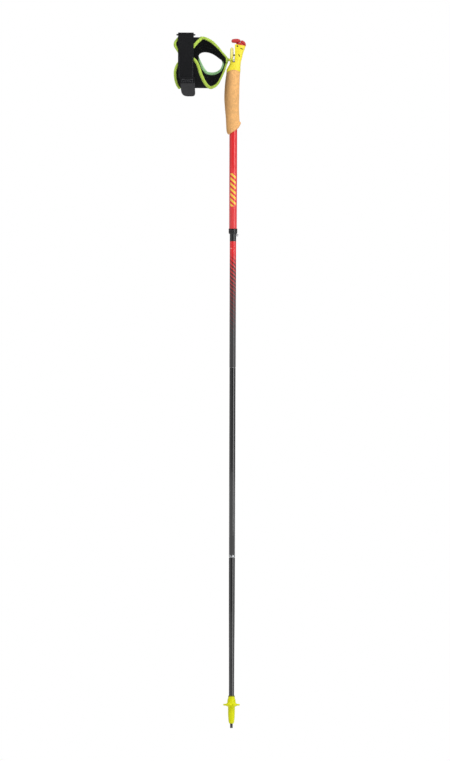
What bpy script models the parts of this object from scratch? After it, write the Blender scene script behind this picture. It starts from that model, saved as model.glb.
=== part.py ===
"""Folding pole for ski touring and trail running, with a clip-in hand strap.

The pole stands along +Z with the end of its carbide tip at the origin. +X is the front of the
grip, the side the fingers wrap round, and the strap leaves the back of the grip towards -X.
Lengths are in metres.
"""

import math

import bmesh
import bpy
from mathutils import Matrix, Vector

# Clearance between pieces that touch or slide on the real pole
GAP = 0.0003
ROUND_STEPS = 28

# Tip and basket
CARBIDE_RADIUS = 0.0024
CARBIDE_EXPOSED = 0.0082
CARBIDE_SHANK = 0.014
HOLDER_LENGTH = 0.0508
HOLDER_TOP_RADIUS = 0.0062
HOLDER_FOOT_RADIUS = 0.0046
HOLDER_WALL = 0.0012
BASKET_BELOW_TOP = 0.0167
BASKET_RADIUS = 0.0150
BASKET_RIM = 0.0022
BASKET_HUB_WALL = 0.0016
BASKET_LOBES = 6
BASKET_NOTCH_RADIUS = 0.0030

# Shaft sections, from the ground up
TUBE_WALL = 0.0009
LOWER_FOOT_RADIUS = 0.0047
LOWER_WAIST_RADIUS = 0.0049
LOWER_TOP_RADIUS = 0.0055
LOWER_EXPOSED = 0.2500
LOWER_TAPER_START = 0.070
LOWER_TAPER_LENGTH = 0.080
RING_HEIGHT = 0.0040
MIDDLE_RADIUS = 0.0055
MIDDLE_LENGTH = 0.3397
SLIDE_RADIUS = 0.0058
SLIDE_EXPOSED = 0.2426
SLIDE_INSERT = 0.060
UPPER_RADIUS = 0.0070
UPPER_EXPOSED = 0.1740
COLLAR_HEIGHT = 0.0094
COLLAR_LIP = 0.0050
COLLAR_WALL = 0.0006
PLUG_GRIP_LENGTH = 0.025
PLUG_NOSE_LENGTH = 0.032
PLUG_NOSE_ROUND = 0.0015
BUSH_LENGTH = 0.012
BUSH_SHOULDER = 0.0015

# Tension cord inside the shaft
CORD_RADIUS = 0.00125
CORD_BORE_RADIUS = 0.0018
CORD_BYPASS = 0.0026
CORD_PULL_SPARE = 0.065
STOP_RADIUS = 0.0026
STOP_LENGTH = 0.006

# Lock button in the sliding section
BUTTON_RADIUS = 0.0021
BUTTON_REACH = 0.0096
BUTTON_ROOT = 0.0030
BUTTON_FLANGE_RADIUS = 0.0027
BUTTON_FLANGE = 0.0007
BUTTON_DOME = 0.0008
LEAF_THICKNESS = 0.0004
LEAF_WIDTH = 0.0040
LEAF_LENGTH = 0.052

# Cork grip
CORK_LENGTH = 0.1150
CORK_BELLY_BACK = 0.0165
CORK_FRONT = 0.0106
CORK_HALF_WIDTH = 0.0135
CORK_SLANT = 0.66
CORK_SQUARENESS = 2.3

# Grip head, heights above the top of the cork
HEAD_BACK = 0.0120
HEAD_FRONT = 0.0125
HEAD_HALF_WIDTH = 0.0126
HEAD_TOP_HALF_WIDTH = 0.0092
HEAD_SOCKET = 0.0060
SLOT_BOTTOM = 0.0127
SLOT_BACK = -0.0009
SLOT_FRONT = 0.0024
HOOK_TOP = 0.0395
HOOK_HALF_WIDTH = 0.0050
PIVOT_X = 0.0071
PIVOT_HEIGHT = 0.0422
PIVOT_RADIUS = 0.0011
PIVOT_HALF_LENGTH = 0.0088
LEVER_HALF_WIDTH = 0.0068
LEVER_HUB_RADIUS = 0.0023
LEVER_ARM_HALF_WIDTH = 0.0024
LEVER_ARM_THICKNESS = 0.0018
LATCH_HEIGHT = 0.0256
LATCH_SIDE = 0.0032
LATCH_TIP = -0.0025
LATCH_END = 0.0074
LATCH_NOTCH_X = 0.0052
LATCH_NOTCH_WIDTH = 0.0032
LATCH_NOTCH_DEPTH = 0.0015
LATCH_TRAVEL = 0.0050
LATCH_BORE_END = 0.0146
SPRING_WIRE = 0.0003
SPRING_TURNS = 5

# Hand strap
LOOP_HEIGHT = 0.0172
LOOP_CORD_RADIUS = 0.0011
LOOP_BACK = -0.0090
FERRULE_LENGTH = 0.0036
FERRULE_HALF_WIDTH = 0.0040
FERRULE_HALF_HEIGHT = 0.0044
HARNESS_THICKNESS = 0.0020
CUFF_TOP = 0.0398
CUFF_BOTTOM = -0.0507
CUFF_DEPTH = 0.0220
PANEL_SEAM = 0.0012
CUFF_SLACK = 0.0009
BAND_WIDTH = 0.0286
BAND_THICKNESS = 0.0018
BAND_X = -0.0865
RING_BAR = 0.0030
RING_DEPTH = 0.0130
RING_LIFT = 0.0021
FLAP_FOOT = -0.0410
TAB_FOOT = -0.0665
TAB_OVERLAP = 0.0070
TAB_THICKNESS = 0.0024

# Levels along the shaft, worked out from the lengths above
Z_HOLDER_FOOT = CARBIDE_EXPOSED
Z_HOLDER_TOP = Z_HOLDER_FOOT + HOLDER_LENGTH
Z_LOWER_TOP = Z_HOLDER_TOP + LOWER_EXPOSED
Z_MIDDLE_FOOT = Z_LOWER_TOP + RING_HEIGHT + 2 * GAP
Z_MIDDLE_TOP = Z_MIDDLE_FOOT + MIDDLE_LENGTH
Z_SLIDE_FOOT = Z_MIDDLE_TOP + GAP
Z_COLLAR_FOOT = Z_SLIDE_FOOT + SLIDE_EXPOSED
Z_UPPER_FOOT = Z_COLLAR_FOOT + COLLAR_HEIGHT - COLLAR_LIP
Z_CORK_FOOT = Z_COLLAR_FOOT + COLLAR_HEIGHT + UPPER_EXPOSED
Z_HEAD = Z_CORK_FOOT + CORK_LENGTH
Z_UPPER_TOP = Z_HEAD + HEAD_SOCKET - 2 * GAP
Z_SLIDE_TOP = Z_COLLAR_FOOT + COLLAR_HEIGHT + SLIDE_INSERT
Z_BUTTON = Z_COLLAR_FOOT - GAP - BUTTON_RADIUS
Z_LOOP = Z_HEAD + LOOP_HEIGHT
X_SLOT = (SLOT_BACK + SLOT_FRONT) / 2

UPPER_BORE = UPPER_RADIUS - TUBE_WALL
SLIDE_BORE = SLIDE_RADIUS - TUBE_WALL
MIDDLE_BORE = MIDDLE_RADIUS - TUBE_WALL
LOWER_BORE = LOWER_TOP_RADIUS - TUBE_WALL
HOLDER_BORE = LOWER_FOOT_RADIUS + GAP


def clear_scene():
    for obj in list(bpy.data.objects):
        bpy.data.objects.remove(obj, do_unlink=True)


def collection(name):
    made = bpy.data.collections.new(name)
    bpy.context.scene.collection.children.link(made)
    return made


def finish(name, rgb, roughness, metallic=0.0):
    material = bpy.data.materials.new(name)
    material.use_nodes = True
    shader = material.node_tree.nodes["Principled BSDF"]
    shader.inputs["Base Color"].default_value = (*rgb, 1.0)
    shader.inputs["Roughness"].default_value = roughness
    shader.inputs["Metallic"].default_value = metallic
    return material


def place(name, mesh, material, smooth_angle=40.0):
    """A finished mesh as a named part in the pole's collection."""
    obj = bpy.data.objects.new(name, mesh)
    PARTS.objects.link(obj)
    mesh.materials.clear()
    mesh.materials.append(material)
    mesh.shade_smooth()
    mesh.set_sharp_from_angle(angle=math.radians(smooth_angle))
    return obj


def mesh_of(obj):
    """The evaluated mesh of a curve or a modified object in world space; the object is removed."""
    bpy.context.view_layer.update()
    evaluated = obj.evaluated_get(bpy.context.evaluated_depsgraph_get())
    mesh = bpy.data.meshes.new_from_object(evaluated)
    mesh.transform(obj.matrix_world)
    build = bmesh.new()
    build.from_mesh(mesh)
    bmesh.ops.remove_doubles(build, verts=build.verts, dist=1e-6)
    bmesh.ops.recalc_face_normals(build, faces=build.faces)
    build.to_mesh(mesh)
    build.free()
    bpy.data.objects.remove(obj, do_unlink=True)
    return mesh


def turned_mesh(profile, steps=ROUND_STEPS):
    """A profile of (radius, height) points turned about Z. It runs down the outside first."""
    mesh = bpy.data.meshes.new("profile")
    edges = [(i, i + 1) for i in range(len(profile) - 1)]
    if profile[0][0] > 0 and profile[-1][0] > 0:
        edges.append((len(profile) - 1, 0))
    mesh.from_pydata([(r, 0.0, z) for r, z in profile], edges, [])
    obj = bpy.data.objects.new("turned", mesh)
    bpy.context.scene.collection.objects.link(obj)
    screw = obj.modifiers.new("turn", "SCREW")
    screw.steps = steps
    screw.render_steps = steps
    screw.use_merge_vertices = True
    screw.merge_threshold = 1e-6
    return mesh_of(obj)


def tube_profile(outer_top, top, outer_foot, foot, wall):
    return [(outer_top, top), (outer_foot, foot), (outer_foot - wall, foot), (outer_top - wall, top)]


def rounded(corners, arc_steps=4):
    """Corners (x, z, radius) as an outline with each corner turned into an arc."""
    points = []
    count = len(corners)
    for i, (x, z, radius) in enumerate(corners):
        here = Vector((x, z))
        before = Vector(corners[i - 1][:2]) - here
        after = Vector(corners[(i + 1) % count][:2]) - here
        if radius <= 0:
            points.append(here)
            continue
        half = before.angle(after) / 2
        reach = min(radius / math.tan(half), before.length * 0.49, after.length * 0.49)
        start = here + before.normalized() * reach
        end = here + after.normalized() * reach
        for k in range(arc_steps + 1):
            t = k / arc_steps
            points.append(start * (1 - t) ** 2 + here * 2 * t * (1 - t) + end * t * t)
    return points


def slab_mesh(outline, half_depth, centre_depth=0.0):
    """An outline in the XZ plane, given half_depth on each side along Y."""
    curve = bpy.data.curves.new("outline", "CURVE")
    curve.dimensions = "2D"
    curve.fill_mode = "BOTH"
    curve.extrude = half_depth
    spline = curve.splines.new("POLY")
    spline.points.add(len(outline) - 1)
    for point, (x, z) in zip(spline.points, outline):
        point.co = (x, z, 0.0, 1.0)
    spline.use_cyclic_u = True
    obj = bpy.data.objects.new("outline", curve)
    bpy.context.scene.collection.objects.link(obj)
    obj.matrix_world = Matrix.Translation((0, centre_depth, 0)) @ Matrix.Rotation(math.pi / 2, 4, "X")
    return mesh_of(obj)


def tube_mesh(points, radius, cyclic=False, resolution=2):
    """A round cord or wire along points."""
    curve = bpy.data.curves.new("path", "CURVE")
    curve.dimensions = "3D"
    curve.bevel_depth = radius
    curve.bevel_resolution = resolution
    curve.use_fill_caps = True
    spline = curve.splines.new("POLY")
    spline.points.add(len(points) - 1)
    for point, co in zip(spline.points, points):
        point.co = (*co, 1.0)
    spline.use_cyclic_u = cyclic
    obj = bpy.data.objects.new("path", curve)
    bpy.context.scene.collection.objects.link(obj)
    return mesh_of(obj)


def box_mesh(low, high):
    build = bmesh.new()
    bmesh.ops.create_cube(build, size=1.0)
    low, high = Vector(low), Vector(high)
    bmesh.ops.scale(build, vec=high - low, verts=build.verts)
    bmesh.ops.translate(build, vec=(low + high) / 2, verts=build.verts)
    mesh = bpy.data.meshes.new("box")
    build.to_mesh(mesh)
    build.free()
    return mesh


def rod_mesh(start, end, radius, steps=ROUND_STEPS):
    """A round bar from start to end."""
    start, end = Vector(start), Vector(end)
    build = bmesh.new()
    bmesh.ops.create_cone(
        build, cap_ends=True, segments=steps, radius1=radius, radius2=radius, depth=(end - start).length
    )
    turn = (end - start).to_track_quat("Z", "Y").to_matrix().to_4x4()
    bmesh.ops.transform(build, matrix=Matrix.Translation((start + end) / 2) @ turn, verts=build.verts)
    mesh = bpy.data.meshes.new("rod")
    build.to_mesh(mesh)
    build.free()
    return mesh


def loft_mesh(rings):
    """A closed body through rings of equal point count, the lowest ring first."""
    build = bmesh.new()
    loops = [[build.verts.new(p) for p in ring] for ring in rings]
    count = len(loops[0])
    for low, high in zip(loops, loops[1:]):
        for i in range(count):
            j = (i + 1) % count
            build.faces.new((low[i], low[j], high[j], high[i]))
    build.faces.new(list(reversed(loops[0])))
    build.faces.new(loops[-1])
    bmesh.ops.recalc_face_normals(build, faces=build.faces)
    mesh = bpy.data.meshes.new("loft")
    build.to_mesh(mesh)
    build.free()
    return mesh


def oval_ring(back, front, half_width, height, slant=0.0, squareness=2.0, steps=ROUND_STEPS):
    """A superellipse round X from back to front; slant raises the front edge."""
    centre, half_length = (front + back) / 2, (front - back) / 2
    ring = []
    for k in range(steps):
        angle = 2 * math.pi * k / steps
        c, s = math.cos(angle), math.sin(angle)
        x = centre + half_length * math.copysign(abs(c) ** (2 / squareness), c)
        y = half_width * math.copysign(abs(s) ** (2 / squareness), s)
        ring.append((x, y, height + slant * x))
    return ring


def combine(obj, mesh, operation="DIFFERENCE"):
    """Cuts a helper shape from a part, or joins or keeps what they share, and applies it."""
    helper = bpy.data.objects.new("helper", mesh)
    CUTTERS.objects.link(helper)
    helper.hide_render = True
    helper.display_type = "WIRE"
    change = obj.modifiers.new(operation.lower(), "BOOLEAN")
    change.operation = operation
    change.solver = "EXACT"
    change.object = helper
    bpy.context.view_layer.update()
    evaluated = obj.evaluated_get(bpy.context.evaluated_depsgraph_get())
    changed = bpy.data.meshes.new_from_object(evaluated)
    obj.modifiers.remove(change)
    obj.data = changed
    changed.name = obj.name
    bpy.data.objects.remove(helper, do_unlink=True)
    changed.shade_smooth()
    changed.set_sharp_from_angle(angle=math.radians(40.0))
    return obj


def straight_cord(name, foot, top):
    return place(name, rod_mesh((0, 0, foot), (0, 0, top), CORD_RADIUS, steps=10), CORD_WHITE)


# Tip and basket


def carbide_tip():
    top = Z_HOLDER_FOOT + CARBIDE_SHANK
    chamfer = CARBIDE_RADIUS * 0.2
    profile = [
        (0.0, top),
        (CARBIDE_RADIUS, top),
        (CARBIDE_RADIUS, chamfer),
        (CARBIDE_RADIUS - chamfer, 0.0),
        (0.0, 0.0),
    ]
    place("carbide_tip", turned_mesh(profile), CARBIDE)


def tip_holder():
    """Tapered socket with the tube glued into its top and the carbide pressed into its foot."""
    pin_bore = CARBIDE_RADIUS + GAP
    pin_top = Z_HOLDER_FOOT + CARBIDE_SHANK + GAP
    tube_seat = pin_top + HOLDER_WALL
    lip = HOLDER_WALL * 0.6
    profile = [
        (HOLDER_BORE + lip, Z_HOLDER_TOP),
        (HOLDER_TOP_RADIUS, Z_HOLDER_TOP - 0.004),
        (HOLDER_TOP_RADIUS, Z_HOLDER_TOP - BASKET_BELOW_TOP - 0.004),
        (HOLDER_FOOT_RADIUS, Z_HOLDER_FOOT + 0.002),
        (HOLDER_FOOT_RADIUS - lip, Z_HOLDER_FOOT),
        (pin_bore, Z_HOLDER_FOOT),
        (pin_bore, pin_top),
        (STOP_RADIUS + GAP, pin_top),
        (STOP_RADIUS + GAP, tube_seat),
        (HOLDER_BORE, tube_seat),
        (HOLDER_BORE, Z_HOLDER_TOP),
    ]
    place("tip_holder", turned_mesh(profile), NEON_PLASTIC)


def basket():
    """Small trail basket: a hub over the holder and a thin plate with notches round its rim."""
    plate = Z_HOLDER_TOP - BASKET_BELOW_TOP
    hub_bore = HOLDER_TOP_RADIUS + GAP
    hub = hub_bore + BASKET_HUB_WALL
    half_rim = BASKET_RIM / 2
    profile = [
        (hub_bore + 0.0005, plate + 0.0105),
        (hub, plate + 0.0045),
        (hub + 0.0016, plate + half_rim),
        (BASKET_RADIUS, plate + half_rim * 0.5),
        (BASKET_RADIUS, plate - half_rim * 0.5),
        (hub + 0.0010, plate - half_rim),
        (hub, plate - 0.0034),
        (hub_bore, plate - 0.0034),
        (hub_bore, plate + 0.0105),
    ]
    obj = place("basket", turned_mesh(profile, steps=36), NEON_PLASTIC)
    for k in range(BASKET_LOBES):
        angle = 2 * math.pi * (k + 0.5) / BASKET_LOBES
        reach = BASKET_RADIUS + BASKET_NOTCH_RADIUS * 0.25
        x, y = reach * math.cos(angle), reach * math.sin(angle)
        notch = rod_mesh((x, y, plate - 0.006), (x, y, plate + 0.006), BASKET_NOTCH_RADIUS, steps=12)
        combine(obj, notch)


# Shaft sections


def joint_plug(name, section_bore, socket_bore, joint):
    """Guide plug glued into the foot of one section; its nose enters the next section down."""
    body, nose = section_bore - GAP, socket_bore - GAP
    foot = joint - PLUG_NOSE_LENGTH
    profile = [
        (body, joint + PLUG_GRIP_LENGTH),
        (body, joint),
        (nose, joint),
        (nose, foot + PLUG_NOSE_ROUND),
        (nose - PLUG_NOSE_ROUND, foot),
        (CORD_BORE_RADIUS, foot),
        (CORD_BORE_RADIUS, joint + PLUG_GRIP_LENGTH),
    ]
    place(name, turned_mesh(profile), ALUMINIUM)


def lower_section():
    taper_top = Z_HOLDER_TOP + LOWER_TAPER_START + LOWER_TAPER_LENGTH
    taper_foot = Z_HOLDER_TOP + LOWER_TAPER_START
    tube_foot = Z_HOLDER_FOOT + CARBIDE_SHANK + 2 * GAP + HOLDER_WALL
    outside = [
        (LOWER_TOP_RADIUS, Z_LOWER_TOP),
        (LOWER_TOP_RADIUS - 0.0002, taper_top),
        (LOWER_WAIST_RADIUS, taper_foot),
        (LOWER_FOOT_RADIUS, Z_HOLDER_TOP),
        (LOWER_FOOT_RADIUS, tube_foot),
    ]
    inside = [(r - TUBE_WALL, z) for r, z in reversed(outside)]
    place("lower_tube", turned_mesh(outside + inside), CARBON)
    ring_foot = Z_LOWER_TOP + GAP
    spigot_foot = Z_LOWER_TOP - 0.010
    socket = LOWER_BORE - GAP - 0.0007
    ring = [
        (LOWER_TOP_RADIUS, ring_foot + RING_HEIGHT),
        (LOWER_TOP_RADIUS, ring_foot),
        (LOWER_BORE - GAP, ring_foot),
        (LOWER_BORE - GAP, spigot_foot),
        (socket, spigot_foot),
        (socket, ring_foot + RING_HEIGHT),
    ]
    place("joint_ring", turned_mesh(ring), ALUMINIUM)
    joint_plug("lower_joint_plug", MIDDLE_BORE, socket, Z_MIDDLE_FOOT)
    cord_foot = tube_foot + STOP_LENGTH + 0.002
    straight_cord("lower_cord", cord_foot + GAP, Z_MIDDLE_FOOT - CORD_PULL_SPARE - GAP)
    stop = rod_mesh((0, 0, cord_foot - STOP_LENGTH), (0, 0, cord_foot), STOP_RADIUS, steps=16)
    place("cord_stop", stop, ALUMINIUM)


def middle_section():
    profile = tube_profile(MIDDLE_RADIUS, Z_MIDDLE_TOP, MIDDLE_RADIUS, Z_MIDDLE_FOOT, TUBE_WALL)
    place("middle_tube", turned_mesh(profile), CARBON)
    foot = Z_MIDDLE_FOOT - CORD_PULL_SPARE
    straight_cord("middle_cord", foot, Z_SLIDE_FOOT - CORD_PULL_SPARE - GAP)


def sliding_section():
    """Tube that slides up into the grip section once its lock button is pressed."""
    profile = tube_profile(SLIDE_RADIUS, Z_SLIDE_TOP, SLIDE_RADIUS, Z_SLIDE_FOOT, TUBE_WALL)
    tube = place("slide_tube", turned_mesh(profile), RED_PAINT)
    hole = rod_mesh((0, 0, Z_BUTTON), (SLIDE_RADIUS * 2, 0, Z_BUTTON), BUTTON_RADIUS + GAP, steps=16)
    combine(tube, hole)
    joint_plug("upper_joint_plug", SLIDE_BORE, MIDDLE_BORE, Z_SLIDE_FOOT)
    bush_top = Z_SLIDE_TOP + GAP + BUSH_SHOULDER
    bush = [
        (SLIDE_RADIUS, bush_top),
        (SLIDE_RADIUS, Z_SLIDE_TOP + GAP),
        (SLIDE_BORE - GAP, Z_SLIDE_TOP + GAP),
        (SLIDE_BORE - GAP, Z_SLIDE_TOP - BUSH_LENGTH),
        (SLIDE_BORE - GAP - 0.0008, Z_SLIDE_TOP - BUSH_LENGTH),
        (SLIDE_BORE - GAP - 0.0008, bush_top),
    ]
    place("guide_bush", turned_mesh(bush), BLACK_PLASTIC)
    straight_cord("slide_cord", Z_SLIDE_FOOT - CORD_PULL_SPARE, Z_SLIDE_FOOT + CORD_PULL_SPARE)


def lock_button():
    root, reach = BUTTON_ROOT, BUTTON_REACH
    profile = [
        (0.0, reach),
        (BUTTON_RADIUS - BUTTON_DOME, reach),
        (BUTTON_RADIUS, reach - BUTTON_DOME),
        (BUTTON_RADIUS, root + BUTTON_FLANGE),
        (BUTTON_FLANGE_RADIUS, root + BUTTON_FLANGE),
        (BUTTON_FLANGE_RADIUS, root),
        (0.0, root),
    ]
    mesh = turned_mesh(profile, steps=20)
    mesh.transform(Matrix.Translation((0, 0, Z_BUTTON)) @ Matrix.Rotation(math.pi / 2, 4, "Y"))
    place("lock_button", mesh, STEEL)


def button_leaf():
    """Leaf spring behind the button; its upper end is held against the tube wall."""
    face = BUTTON_ROOT - GAP
    wall = SLIDE_BORE - GAP - 0.0005
    foot, bend = Z_BUTTON - BUTTON_FLANGE_RADIUS, Z_BUTTON + BUTTON_FLANGE_RADIUS
    top = foot + LEAF_LENGTH
    middle = (bend + top) / 2
    line = [(face, foot), (face, bend), (wall, middle), (wall, top)]
    back = [(x - LEAF_THICKNESS, z) for x, z in reversed(line)]
    place("button_leaf_spring", slab_mesh(line + back, LEAF_WIDTH / 2), STEEL)


def upper_section():
    profile = tube_profile(UPPER_RADIUS, Z_UPPER_TOP, UPPER_RADIUS, Z_UPPER_FOOT, TUBE_WALL)
    place("upper_tube", turned_mesh(profile), RED_PAINT)
    lip_bore = UPPER_RADIUS + GAP
    outer = lip_bore + COLLAR_WALL
    top = Z_COLLAR_FOOT + COLLAR_HEIGHT
    seat = Z_UPPER_FOOT - GAP
    collar = [
        (outer - 0.0003, top),
        (outer, top - 0.0006),
        (outer, Z_COLLAR_FOOT + 0.0025),
        (outer - 0.0005, Z_COLLAR_FOOT),
        (UPPER_BORE, Z_COLLAR_FOOT),
        (UPPER_BORE, seat),
        (lip_bore, seat),
        (lip_bore, top),
    ]
    place("lock_collar", turned_mesh(collar), BLACK_PLASTIC)
    anchor_foot, anchor_top = Z_UPPER_TOP - 0.014, Z_UPPER_TOP - GAP
    anchor = [
        (UPPER_BORE - GAP, anchor_top),
        (UPPER_BORE - GAP, anchor_foot),
        (CORD_BORE_RADIUS, anchor_foot),
        (CORD_BORE_RADIUS, anchor_top),
    ]
    place("cord_anchor", turned_mesh(anchor), BLACK_PLASTIC)
    upper_cord(anchor_foot)


def upper_cord(anchor_foot):
    """Cord from the anchor to the sliding section; it bows past the back of the lock button."""
    foot = Z_SLIDE_FOOT + CORD_PULL_SPARE + GAP
    top = Z_UPPER_TOP - 2 * GAP
    steps = 40
    points = []
    for k in range(steps + 1):
        z = foot + (top - foot) * k / steps
        along = min(1.0, max(0.0, (anchor_foot - z) / (anchor_foot - Z_BUTTON)))
        if z < Z_BUTTON:
            along = max(0.0, (z - foot) / (Z_BUTTON - foot))
        bow = along * along * (3 - 2 * along)
        points.append((-CORD_BYPASS * bow, 0.0, z))
    place("upper_cord", tube_mesh(points, CORD_RADIUS, resolution=1), CORD_WHITE)


# Grip


def cork_grip():
    """Cork sleeve with a swell for the palm, cut on a slant at its foot and bored for the tube."""
    length = CORK_LENGTH - GAP
    # share of the height, back, front, half width, slant
    sections = [
        (0.032, 0.0095, 0.0102, 0.0105, CORK_SLANT),
        (0.060, 0.0112, 0.0133, 0.0114, CORK_SLANT),
        (0.090, 0.0121, 0.0134, 0.0120, CORK_SLANT),
        (0.150, 0.0130, 0.0118, 0.0126, CORK_SLANT * 0.5),
        (0.260, 0.0138, CORK_FRONT + 0.0002, 0.0130, CORK_SLANT * 0.2),
        (0.400, 0.0155, CORK_FRONT - 0.0003, CORK_HALF_WIDTH, 0.0),
        (0.540, CORK_BELLY_BACK, CORK_FRONT, CORK_HALF_WIDTH, 0.0),
        (0.680, 0.0161, CORK_FRONT + 0.0002, CORK_HALF_WIDTH, 0.0),
        (0.820, 0.0148, CORK_FRONT + 0.0006, 0.0131, 0.0),
        (0.930, 0.0130, 0.0118, 0.0127, 0.0),
        (1.000, HEAD_BACK, HEAD_FRONT, HEAD_HALF_WIDTH, 0.0),
    ]
    rings = [
        oval_ring(-back, front, half, Z_CORK_FOOT + share * length, slant, CORK_SQUARENESS)
        for share, back, front, half, slant in sections
    ]
    obj = place("cork_grip", loft_mesh(rings), CORK)
    bore = rod_mesh((0, 0, Z_CORK_FOOT - 0.02), (0, 0, Z_HEAD + 0.02), UPPER_RADIUS + GAP)
    combine(obj, bore)


def head_envelope():
    """Outer form of the head before its slot and top are cut: height, back, front, half width."""
    sections = [
        (GAP, HEAD_BACK, HEAD_FRONT, HEAD_HALF_WIDTH),
        (0.0042, 0.0100, 0.0126, 0.0122),
        (0.0085, 0.0074, 0.0129, 0.0116),
        (0.0127, 0.0064, 0.0133, 0.0108),
        (0.0214, 0.0064, 0.0157, 0.0099),
        (0.0286, 0.0063, 0.0171, 0.0095),
        (0.0360, 0.0062, 0.0199, 0.0093),
        (0.0430, 0.0060, 0.0221, HEAD_TOP_HALF_WIDTH),
        (0.0520, 0.0060, 0.0232, HEAD_TOP_HALF_WIDTH - 0.0006),
    ]
    return loft_mesh(
        [oval_ring(-back, front, half, Z_HEAD + z, 0.0, 2.7) for z, back, front, half in sections]
    )


def head_top():
    """The slope that the lever and the pad sit on, from back to front."""
    return [
        (SLOT_FRONT, 0.0452),
        (PIVOT_X, 0.0470),
        (0.0128, 0.0486),
        (0.0168, 0.0459),
        (0.0209, 0.0430),
    ]


def grip_head():
    """Moulded head with the strap hook at its back and pockets for the lever and the latch."""
    obj = place("grip_head", head_envelope(), NEON_PLASTIC)
    far = 0.03
    above = [(x, Z_HEAD + z) for x, z in head_top()]
    above += [(far, Z_HEAD + 0.0392), (far, Z_HEAD + 0.07), (SLOT_FRONT, Z_HEAD + 0.07)]
    combine(obj, slab_mesh(above, far))
    over_hook = [
        (-far, Z_HEAD + HOOK_TOP, 0.0),
        (SLOT_BACK, Z_HEAD + HOOK_TOP, 0.0),
        (SLOT_BACK, Z_HEAD + SLOT_BOTTOM, 0.0016),
        (SLOT_FRONT, Z_HEAD + SLOT_BOTTOM, 0.0016),
        (SLOT_FRONT, Z_HEAD + 0.08, 0.0),
        (-far, Z_HEAD + 0.08, 0.0),
    ]
    combine(obj, slab_mesh(rounded(over_hook), far))
    for side in (-1, 1):
        low = (-far, min(side * HOOK_HALF_WIDTH, side * far), Z_HEAD + SLOT_BOTTOM)
        high = (SLOT_FRONT, max(side * HOOK_HALF_WIDTH, side * far), Z_HEAD + 0.06)
        combine(obj, box_mesh(low, high))
    socket = rod_mesh((0, 0, Z_HEAD - 0.02), (0, 0, Z_HEAD + HEAD_SOCKET), UPPER_RADIUS + GAP)
    combine(obj, socket)
    pocket_half = LEVER_ARM_HALF_WIDTH + GAP
    latch_half = LATCH_SIDE / 2 + GAP
    arm_low = Z_HEAD + LATCH_HEIGHT - latch_half
    arm_back = LATCH_NOTCH_X - LEVER_ARM_THICKNESS / 2 - 0.0007
    arm_front = LATCH_NOTCH_X + LATCH_TRAVEL + LEVER_ARM_THICKNESS / 2 + 0.0009
    combine(obj, box_mesh((arm_back, -pocket_half, arm_low), (arm_front, pocket_half, Z_HEAD + 0.07)))
    bore_low = (LATCH_TIP - 0.0006, -latch_half, arm_low)
    combine(obj, box_mesh(bore_low, (LATCH_BORE_END, latch_half, arm_low + 2 * latch_half)))
    pin = (PIVOT_X, Z_HEAD + PIVOT_HEIGHT)
    hole = rod_mesh((pin[0], -far, pin[1]), (pin[0], far, pin[1]), PIVOT_RADIUS + GAP, steps=16)
    combine(obj, hole)


def crown_pad():
    """Soft pad on the front half of the head's top."""
    seat = [(x, z + GAP) for x, z in head_top()[2:]]
    corners = [
        (seat[0][0] + 2 * GAP, seat[0][1], 0.0003),
        (0.0132, 0.0526, 0.0008),
        (0.0162, 0.0524, 0.0015),
        (0.0186, 0.0516, 0.0020),
        (0.0215, 0.0478, 0.0015),
        (0.0223, 0.0440, 0.0008),
        (seat[2][0], seat[2][1], 0.0003),
        (seat[1][0], seat[1][1], 0.0),
    ]
    outline = rounded([(x, Z_HEAD + z, r) for x, z, r in corners], arc_steps=3)
    obj = place("crown_pad", slab_mesh(outline, HEAD_TOP_HALF_WIDTH - 0.0012), RED_PLASTIC)
    soften(obj, 0.0010)


def soften(obj, width, segments=2):
    """Rounds the sharp edges of a part and applies it."""
    bevel = obj.modifiers.new("soften", "BEVEL")
    bevel.width = width
    bevel.segments = segments
    bevel.limit_method = "ANGLE"
    bevel.angle_limit = math.radians(50)
    bpy.context.view_layer.update()
    evaluated = obj.evaluated_get(bpy.context.evaluated_depsgraph_get())
    changed = bpy.data.meshes.new_from_object(evaluated)
    obj.modifiers.remove(bevel)
    obj.data = changed
    changed.shade_smooth()
    changed.set_sharp_from_angle(angle=math.radians(40.0))


def release_lever():
    """Red rocker on top of the head: its beak overhangs the slot and its arm works the latch."""
    corners = [
        (-0.0034, 0.0532, 0.0012),
        (0.0018, 0.0557, 0.0020),
        (0.0082, 0.0557, 0.0020),
        (0.0126, 0.0534, 0.0008),
        (0.0126, 0.0494, 0.0006),
        (PIVOT_X, 0.0480, 0.0),
        (0.0011, 0.0477, 0.0010),
        (-0.0023, 0.0502, 0.0012),
    ]
    outline = rounded([(x, Z_HEAD + z, r) for x, z, r in corners], arc_steps=3)
    obj = place("release_lever", slab_mesh(outline, LEVER_HALF_WIDTH), RED_PLASTIC)
    soften(obj, 0.0010)
    half = LEVER_ARM_THICKNESS / 2
    tip = LATCH_HEIGHT + LATCH_SIDE / 2 - LATCH_NOTCH_DEPTH + GAP
    shank = [
        (LATCH_NOTCH_X - half, Z_HEAD + tip, 0.0004),
        (LATCH_NOTCH_X + half, Z_HEAD + tip, 0.0004),
        (PIVOT_X + LEVER_HUB_RADIUS, Z_HEAD + PIVOT_HEIGHT, 0.0010),
        (PIVOT_X + LEVER_HUB_RADIUS, Z_HEAD + 0.0500, 0.0),
        (PIVOT_X - LEVER_HUB_RADIUS, Z_HEAD + 0.0500, 0.0),
        (PIVOT_X - LEVER_HUB_RADIUS, Z_HEAD + PIVOT_HEIGHT, 0.0010),
    ]
    combine(obj, slab_mesh(rounded(shank), LEVER_ARM_HALF_WIDTH), "UNION")
    z = Z_HEAD + PIVOT_HEIGHT
    combine(obj, rod_mesh((PIVOT_X, -0.02, z), (PIVOT_X, 0.02, z), PIVOT_RADIUS + GAP, steps=16))


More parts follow.
